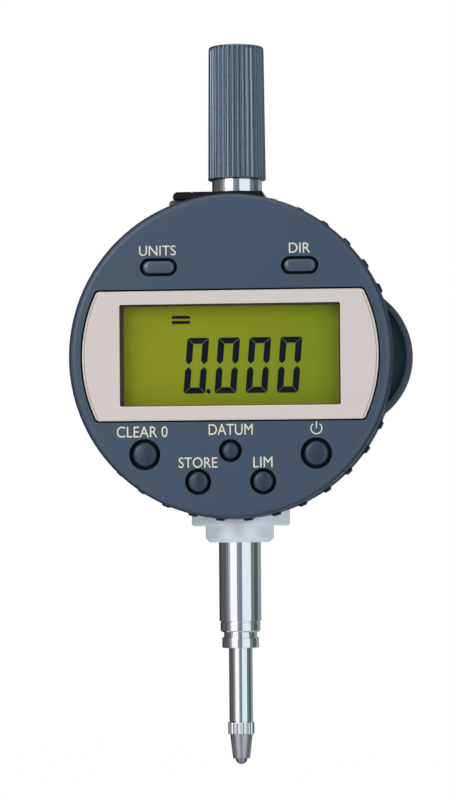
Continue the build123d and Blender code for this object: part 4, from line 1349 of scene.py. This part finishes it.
@dataclass
class Prints:
    """Cream marks printed on the face."""

    thickness: float = 0.02
    marks: tuple = (
        Mark("print_unit", "UNITS", -13.2, 19.55, 1.85, 0.95),
        Mark("print_sign", "DIR", 13.05, 19.7, 1.85, 0.95),
        Mark("print_zero", "CLEAR 0", -16.3, -13.85, 2.05, 0.88),
        Mark("print_reference", "DATUM", 0.1, -13.55, 2.05, 0.82),
        Mark("print_mode", "STORE", -6.0, -19.6, 1.95, 0.88),
        Mark("print_limit", "LIM", 6.0, -19.6, 1.95, 0.9),
    )
    power_x: float = 15.9
    power_z: float = -13.5
    power_radius: float = 1.0
    power_line: float = 0.2
    power_gap: float = 38.0
    power_stroke: tuple = (0.05, 1.3)

    def words(self, mark: Mark) -> bpy.types.Object:
        """Text turned to a mesh, scaled to its cap height and laid on the face.

        Args:
            mark: the mark with its words.

        Returns:
            The words as a flat mesh.
        """
        curve = bpy.data.curves.new(mark.name, "FONT")
        curve.body = mark.words
        curve.align_x = "CENTER"
        curve.align_y = "BOTTOM_BASELINE"
        curve.resolution_u = 4
        curve.extrude = 0.5
        source = bpy.data.objects.new(mark.name, curve)
        bpy.context.scene.collection.objects.link(source)
        bpy.context.view_layer.update()
        mesh = bpy.data.meshes.new_from_object(source)
        bpy.data.objects.remove(source)
        places = np.zeros(len(mesh.vertices) * 3)
        mesh.vertices.foreach_get("co", places)
        places = places.reshape(-1, 3)
        low, high = places.min(0), places.max(0)
        scale = mark.height / (high[1] - low[1])
        across = (places[:, 0] - (low[0] + high[0]) / 2) * scale * mark.squeeze + mark.x
        up = (places[:, 1] - low[1]) * scale + mark.z - mark.height / 2
        front = Depth.FACE.value + (places[:, 2] + 0.5) * self.thickness
        laid = on_face(np.stack([across, up, front], -1)) * MM
        mesh.vertices.foreach_set("co", laid.ravel())
        mesh.materials.clear()
        return finish_mesh(mark.name, mesh, FLAT_CRISP)

    def power(self) -> bpy.types.Object:
        """Power mark: an open ring, x = r cos a and z = r sin a, with a stroke in its gap.

        Returns:
            The mark.
        """
        angle = np.radians(np.linspace(90 + self.power_gap, 450 - self.power_gap, 40))
        arc = np.column_stack([np.cos(angle), np.sin(angle)])
        half = self.power_line / 2
        band = [arc * (self.power_radius + half), arc[::-1] * (self.power_radius - half)]
        low, high = self.power_stroke
        stroke = np.array([(-half, low), (half, low), (half, high), (-half, high)])
        centre = np.array([self.power_x, self.power_z])
        back, front = Depth.FACE.value, Depth.FACE.value + self.thickness
        ring = prism("power_ring", np.concatenate(band) + centre, back, front)
        return merge("print_power", [ring, prism("power_stroke", stroke + centre, back, front)])

    def dress(self) -> None:
        """Lays each mark on the display."""
        for mark in self.marks:
            dress(self.words(mark), Finishes.marking, "display")
        dress(self.power(), Finishes.marking, "display")


@dataclass
class Display:
    """Rotating display: housing, ribbed ring, frame, window and inner pieces."""

    radius: float = 30.0
    flat_radius: float = 27.75
    cad_fillet: float = 2.2
    fillet: float = 1.4
    outline_radius: float = 27.05
    outline_height: float = 11.5
    outline_width: float = 0.1
    outline_thickness: float = 0.015
    tolerance: float = 0.03
    steep_normal: float = -0.8
    recess_back: float = 12.9
    recess_normal: float = 0.5
    recess_outwards: float = 0.3
    moat_depths: tuple = (17.0, 19.42)
    frame_lean: float = 0.6
    lean_limit: float = 0.3
    nodes: dict = field(
        default_factory=lambda: {
            "display_back": Finishes.back, "display_screws": Finishes.steel,
            "stop_pin": Finishes.steel, "window_lens": Finishes.lens,
            "lcd_frame": Finishes.lips, "lcd_panel": Finishes.film,
            "lcd_connectors": Finishes.striped_rubber, "main_board": Finishes.board,
            "board_chip": Finishes.inner, "key_domes": Finishes.steel,
            "key_mat": Finishes.grey_rubber, "cell_contacts": Finishes.steel,
            "coin_cell": Finishes.steel,
        }
    )
    copies: tuple = (
        Soft("front_housing", "face_housing", Finishes.housing, "display", "housing_plastic", 0.08),
        Soft("grip_ring", "ribbed_ring", Finishes.ring, "display", "grip_plastic", 0.12),
        Soft("window_frame", "beige_window_frame", Finishes.frame, "display", "frame_beige"),
        Soft("cell_tray", "crescent_tray", Finishes.tray, "cell_tray", "tray_plastic", 0.1),
    )

    def tighten(self, piece: bpy.types.Object) -> None:
        """Draws the rounded edge of the face in to the radius that shows.

        With R the housing's radius and D the face's depth, a point at angle t of the solid's edge,
        (R - f + f sin t, D - f + f cos t) in radius and depth, goes to the same angle of an edge
        whose radius is g in place of f.

        Args:
            piece: the housing's copy.
        """
        places = np.zeros(len(piece.data.vertices) * 3)
        piece.data.vertices.foreach_get("co", places)
        places = places.reshape(-1, 3) / MM - (0.0, 0.0, DISPLAY_Z)
        reach, depth = np.hypot(places[:, 0], places[:, 2]), -places[:, 1]
        out = reach - (self.radius - self.cad_fillet)
        ahead = depth - (Depth.FACE.value - self.cad_fillet)
        edge = abs(np.hypot(out, ahead) - self.cad_fillet) < self.tolerance
        edge &= (out > -self.tolerance) & (ahead > -self.tolerance)
        turn = np.arctan2(out, ahead)
        ratio = (self.radius - self.fillet + self.fillet * np.sin(turn)) / reach
        drawn_depth = Depth.FACE.value - self.fillet + self.fillet * np.cos(turn)
        drawn = np.column_stack([places[:, 0] * ratio, -drawn_depth, places[:, 2] * ratio])
        places = np.where(edge[:, None], drawn, places) + (0.0, 0.0, DISPLAY_Z)
        piece.data.vertices.foreach_set("co", (places * MM).ravel())
        piece.data.update()

    def painted_shade_side(self, middles: np.ndarray, normals: np.ndarray) -> np.ndarray:
        """Tells which faces of the housing lie on its side and the outer part of its edge, where a
        darker slate paints their shade.
        """
        reach = np.hypot(middles[:, 0], middles[:, 2] - DISPLAY_Z)
        return (reach > self.radius - self.fillet) & (normals[:, 1] > self.steep_normal)

    def painted_light_recess(self, middles: np.ndarray, normals: np.ndarray) -> np.ndarray:
        """Tells which faces of the tray lie inside its crescent, none of which looks outwards; a
        lighter teal on them paints light into the recess.

        Args:
            middles: the faces' middles, in millimetres.
            normals: their normals.

        Returns:
            True for each chosen face.
        """
        across, up = middles[:, 0], middles[:, 2] - DISPLAY_Z
        reach = np.hypot(across, up)
        outwards = (across * normals[:, 0] + up * normals[:, 2]) / reach
        inside = (reach > self.radius) & (-middles[:, 1] < self.recess_back)
        return inside & (normals[:, 1] < self.recess_normal) & (outwards < self.recess_outwards)

    def outline(self) -> None:
        """Thin brown line inside both arcs of the frame: strips between two arcs of radius r."""
        limit = math.asin(self.outline_height / self.outline_radius)
        back, front = Depth.FACE.value, Depth.FACE.value + self.outline_thickness
        parts = []
        for middle in (0.0, math.pi):
            angle = middle + np.linspace(-limit, limit, 48)
            ring = np.column_stack([np.cos(angle), np.sin(angle)])
            strip = np.concatenate([
                ring * self.outline_radius, ring[::-1] * (self.outline_radius - self.outline_width)
            ])
            parts.append(prism("outline", strip, back, front))
        dress(merge("frame_outline", parts), Finishes.outline, "display")

    def painted_shade_sunken(self, middles: np.ndarray, normals: np.ndarray) -> np.ndarray:
        """Tells which faces of the housing lie below its face, inside the rounded edge, where near
        black paints their shade.

        Args:
            middles: the faces' middles, in millimetres.
            normals: their normals, which make no difference here.

        Returns:
            True for each chosen face.
        """
        (back, front), depth = self.moat_depths, -middles[:, 1]
        reach = np.hypot(middles[:, 0], middles[:, 2] - DISPLAY_Z)
        return (depth > back) & (depth < front) & (reach < self.flat_radius)

    def painted_highlight_bevel(self, middles: np.ndarray, normals: np.ndarray) -> np.ndarray:
        """Tells which faces of the frame lie on its bevel, where a lighter cream paints a
        highlight.
        """
        return abs(normals[:, 1] + self.frame_lean) < self.lean_limit

    def upright(self, middles: np.ndarray, normals: np.ndarray) -> np.ndarray:
        """Tells which faces of the frame stand upright on the face, where black paints their shade.
        """
        return abs(normals[:, 1]) < self.lean_limit

    def dress(self) -> None:
        """Dresses the display's pieces."""
        for node, finish in self.nodes.items():
            paint(node, finish)
        face, ring, frame_plate, tray = self.copies
        housing = face.copy()
        self.tighten(housing)
        face.dress(housing)
        # paints shade into the key moats and the frame's recess
        recolour(housing, Finishes.moat, self.painted_shade_sunken)
        # paints shade on the side and the outer edge of the housing
        recolour(housing, Finishes.rim, self.painted_shade_side)
        ring.dress()
        plate = frame_plate.dress()
        # paints a highlight on the frame's bevels
        recolour(plate, Finishes.cream, self.painted_highlight_bevel)
        # paints shade in black on the frame's upright walls
        recolour(plate, Finishes.inner, self.upright)
        # paints light into the tray's crescent recess
        recolour(tray.dress(), Finishes.crescent, self.painted_light_recess)
        self.outline()
        Keypad().dress()
        Readout7().dress()
        Prints().dress()


@dataclass
class Case:
    """Silver case with the port block, the back and the works inside."""

    nodes: dict = field(
        default_factory=lambda: {
            "lower_bush": Finishes.brass, "dust_wiper": Finishes.felt,
            "data_socket": Finishes.inner, "back_gasket": Finishes.black_rubber,
            "back_screws": Finishes.steel, "guide_rail": Finishes.steel,
            "detector_board": Finishes.board, "sensor_chip": Finishes.inner,
            "spring_post": Finishes.steel,
            "stop_bumper": Finishes.black_rubber, "glide_ring": Finishes.white_plastic,
            "retaining_ring": Finishes.steel, "retaining_screws": Finishes.steel,
            "flex_cable": Finishes.amber, "scale_carrier": Finishes.inner,
            "carrier_screw": Finishes.steel, "scale_strip": Finishes.amber,
            "guide_pin": Finishes.steel,
        }
    )
    copies: tuple = (
        Soft("case_casting", "silver_case", Finishes.casting, "case", "case_silver", 0.3),
        Soft("port_housing", "port_block", Finishes.port, "case", "port_plastic", 0.1),
        Soft("top_plate", "glossy_top_plate", Finishes.gloss, "case", "top_plate_plastic", 0.12),
        Soft(
            "back_plate", "round_back_plate", Finishes.back_plate, "case", "back_plate_metal", 0.08
        ),
        Soft("port_cover", "rubber_port_cover", Finishes.cover, "port_cover", "cover_rubber"),
    )

    def dress(self) -> None:
        """Dresses the case's pieces."""
        for node, finish in self.nodes.items():
            paint(node, finish)
        for copy in self.copies:
            copy.dress()


@dataclass
class Spring:
    """Gauging spring: a wire coil between its post and the carrier's arm."""

    x: float = 9.5
    bottom: float = 20.3
    top: float = 33.3
    radius: float = 1.25
    wire: float = 0.24
    turns: int = 12
    eye_z: float = 19.2
    eye_radius: float = 1.09
    narrow: float = 0.35
    narrow_turns: float = 1.5
    turn_steps: int = 20
    eye_steps: int = 40

    def build(self) -> bpy.types.Object:
        """Wire along a helix, (x + r cos a, r sin a, z), whose radius r is drawn in at both ends.

        Returns:
            The coil.
        """
        share = np.linspace(0, 1, self.turns * self.turn_steps)
        angle = 2 * math.pi * self.turns * share
        ease = np.clip(np.minimum(share, 1 - share) * self.turns * self.narrow_turns, 0, 1)
        radius = self.radius * (self.narrow + (1 - self.narrow) * ease)
        height = self.bottom + (self.top - self.bottom) * share
        path = np.column_stack([self.x + radius * np.cos(angle), radius * np.sin(angle), height])
        return tube("gauging_spring", path, self.wire)

    def eye(self) -> bpy.types.Object:
        """Eye round the post: the ring (x + r cos a, 0, z + r sin a).

        Returns:
            The eye.
        """
        angle = circle(self.eye_steps)
        across, up = self.eye_radius * np.cos(angle), self.eye_radius * np.sin(angle)
        path = np.column_stack([self.x + across, 0 * angle, self.eye_z + up])
        return tube("spring_eye", path, self.wire, closed=True)

    def dress(self) -> None:
        """Gives the coil its finish in place of the CAD spring, and keeps the eye on the case."""
        coil = self.build()
        coil.data.materials.append(Finishes.steel.material())
        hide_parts("return_spring")
        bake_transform(coil)
        dress(self.eye(), Finishes.steel, "case", ["return_spring"])


# Studio


@dataclass
class Studio:
    """White surroundings, soft lamps, dark cards for the bright metal, and the camera."""

    distance: float = 570.0
    azimuth: float = 5.0
    roll: float = 0.457
    aside: float = 2.045
    middle_height: float = 27.08
    drop: float = 20.98
    focal_pixels: float = 2992.0
    image_width: int = 456
    image_height: int = 800
    floor_z: float = -330.0
    world_light: float = 0.5
    glow: float = 1.015
    glow_share: float = 0.97
    floor_reach: float = 4000.0
    sensor: float = 36.0
    card_radius: float = 330.0
    card_low: float = -600.0
    card_high: float = 900.0
    card_below: Colour = (0.4, 0.42, 0.44)
    lamps: tuple = (
        ("key_lamp", (-0.6, -0.85, 0.42), (0.7, 0.6), 3.6),
        ("fill_lamp", (0.65, -0.8, 0.13), (0.7, 0.4), 2.2),
        ("top_lamp", (0.0, 0.1, 1.0), (0.9, 0.6), 2.0),
    )
    cards: tuple = (
        ("card_left_back", -175.0, -124.0, (0.045, 0.043, 0.048)),
        ("card_left_dark", -124.0, -78.0, (0.095, 0.093, 0.1)),
        ("card_left_grey", -78.0, -62.0, (0.19, 0.19, 0.2)),
        ("card_left_light", -62.0, -51.0, (0.42, 0.42, 0.45)),
        ("card_front_left", -13.0, -1.0, (0.25, 0.28, 0.34)),
        ("card_front_right", -1.0, 15.5, (0.17, 0.21, 0.26)),
        ("card_right_light", 15.5, 66.0, (0.75, 0.87, 0.93)),
        ("card_right_grey", 66.0, 88.0, (0.16, 0.21, 0.22)),
        ("card_right_dark", 88.0, 118.0, (0.07, 0.1, 0.1)),
        ("card_right_back", 118.0, 185.0, (0.26, 0.3, 0.32)),
    )

    def camera(self) -> None:
        """Camera below the display and to its right, its back kept upright by a lens shift."""
        turn, roll = math.radians(self.azimuth), math.radians(self.roll)
        level = Vector((math.cos(turn), math.sin(turn), 0.0))
        forward = Vector((-math.sin(turn), math.cos(turn), 0.0))
        up = Vector((0.0, 0.0, 1.0))
        right_axis = level * math.cos(roll) - up * math.sin(roll)
        up_axis = up * math.cos(roll) + level * math.sin(roll)
        middle = up * self.middle_height - level * self.aside
        place = (middle - forward * self.distance - up_axis * self.drop) * MM
        data = bpy.data.cameras.new("camera")
        data.sensor_width = self.sensor
        longest = max(self.image_width, self.image_height)
        data.lens = self.focal_pixels * data.sensor_width / longest
        data.shift_y = self.drop / self.distance * self.focal_pixels / longest
        data.clip_start, data.clip_end = 0.01, 20.0
        seat = bpy.data.objects.new("camera", data)
        rows = (right_axis, up_axis, -forward)
        seat.matrix_world = Matrix.Translation(place) @ Matrix(rows).transposed().to_4x4()
        bpy.context.scene.collection.objects.link(seat)
        bpy.context.scene.camera = seat

    def lamp(self, name: str, place: tuple, size: tuple, power: float) -> None:
        """Soft rectangular lamp aimed at the display's centre.

        Args:
            name: the lamp's name.
            place: where it stands, in metres.
            size: its width and height, in metres.
            power: its power, in watts.
        """
        data = bpy.data.lights.new(name, "AREA")
        data.shape = "RECTANGLE"
        data.size, data.size_y = size
        data.energy = power
        lamp = bpy.data.objects.new(name, data)
        lamp.location = place
        aim = Vector((0, 0, DISPLAY_Z * MM)) - Vector(place)
        lamp.rotation_euler = aim.to_track_quat("-Z", "Y").to_euler()
        bpy.context.scene.collection.objects.link(lamp)

    def world(self) -> None:
        """White to the camera and in reflections, softer as light on the object."""
        world = bpy.data.worlds.new("studio")
        bpy.context.scene.world = world
        tree = Tree(world)
        strength = self.world_light + tree.seen() * (1.0 - self.world_light)
        light = tree.node("Background", None, {"Color": (1.0, 1.0, 1.0), "Strength": strength})
        tree.node("OutputWorld", None, {"Surface": light})

    def floor(self) -> None:
        """Plain pale floor below the hanging indicator, white where nothing shades it."""
        corners = np.array([(-1, -1), (1, -1), (1, 1), (-1, 1)]) * self.floor_reach
        points = np.column_stack([corners, np.full(4, self.floor_z)])
        floor = make_object("floor", points, [[0, 1, 2, 3]])
        tree = Tree(bpy.data.materials.new("pale_floor"))
        shade = tree.mix(tree.noise(40.0), (0.92,) * 3, (0.95,) * 3)
        diffuse = tree.node("BsdfDiffuse", None, {"Color": shade})
        glow = tree.node("Emission", None, {"Color": (1.0, 1.0, 1.0), "Strength": self.glow})
        share = tree.seen() * self.glow_share
        mixed = tree.node("MixShader", None, {0: share, 1: diffuse, 2: glow})
        tree.node("OutputMaterial", None, {"Surface": mixed})
        floor.data.materials.append(tree.owner)

    def card(
        self, name: str, start: float, end: float, shade: Colour, low: float, high: float
    ) -> None:
        """Curved card seen only in reflections: upright, or with low and high alike a disc.

        Its points are (r sin a, -r cos a, h), where the azimuth a runs from start to end, in
        degrees to the right of the view from the front.

        Args:
            name: the card's name.
            start: azimuth of its left side.
            end: azimuth of its right side.
            shade: the colour that it shows.
            low: height of its lower side, in millimetres.
            high: height of its upper side.
        """
        azimuth = np.radians(np.linspace(start, end, 24))
        height = np.array([low, high])[:, None] + 0 * azimuth
        reach = np.array([self.card_radius, self.card_radius * (low != high)])[:, None]
        points = np.stack([reach * np.sin(azimuth), -reach * np.cos(azimuth), height], -1)
        card = join_grid(name, points, close_columns=False)
        tree = Tree(bpy.data.materials.new(name + "_shade"))
        glow = tree.node("Emission", None, {"Color": shade, "Strength": 1.0})
        tree.node("OutputMaterial", None, {"Surface": glow})
        card.data.materials.append(tree.owner)
        card.visible_camera = False
        card.visible_diffuse = False
        card.visible_shadow = False
        card.visible_transmission = False

    def dress(self) -> None:
        """Sets up light, floor and camera."""
        self.world()
        self.floor()
        for lamp in self.lamps:
            self.lamp(*lamp)
        for card in self.cards:
            self.card(*card, self.card_low, self.card_high)
        below = self.floor_z + 1.0
        self.card("card_below", -180.0, 180.0, self.card_below, below, below)
        self.camera()
        bpy.context.scene.view_settings.view_transform = "Standard"


def main() -> None:
    """Builds the indicator's looks in order."""
    logging.basicConfig(level=logging.INFO, format="%(message)s")
    Cap().dress()
    Shaft().dress()
    Contact().dress()
    Display().dress()
    Case().dress()
    Spring().dress()
    Studio().dress()


if __name__ == "__main__":
    main()
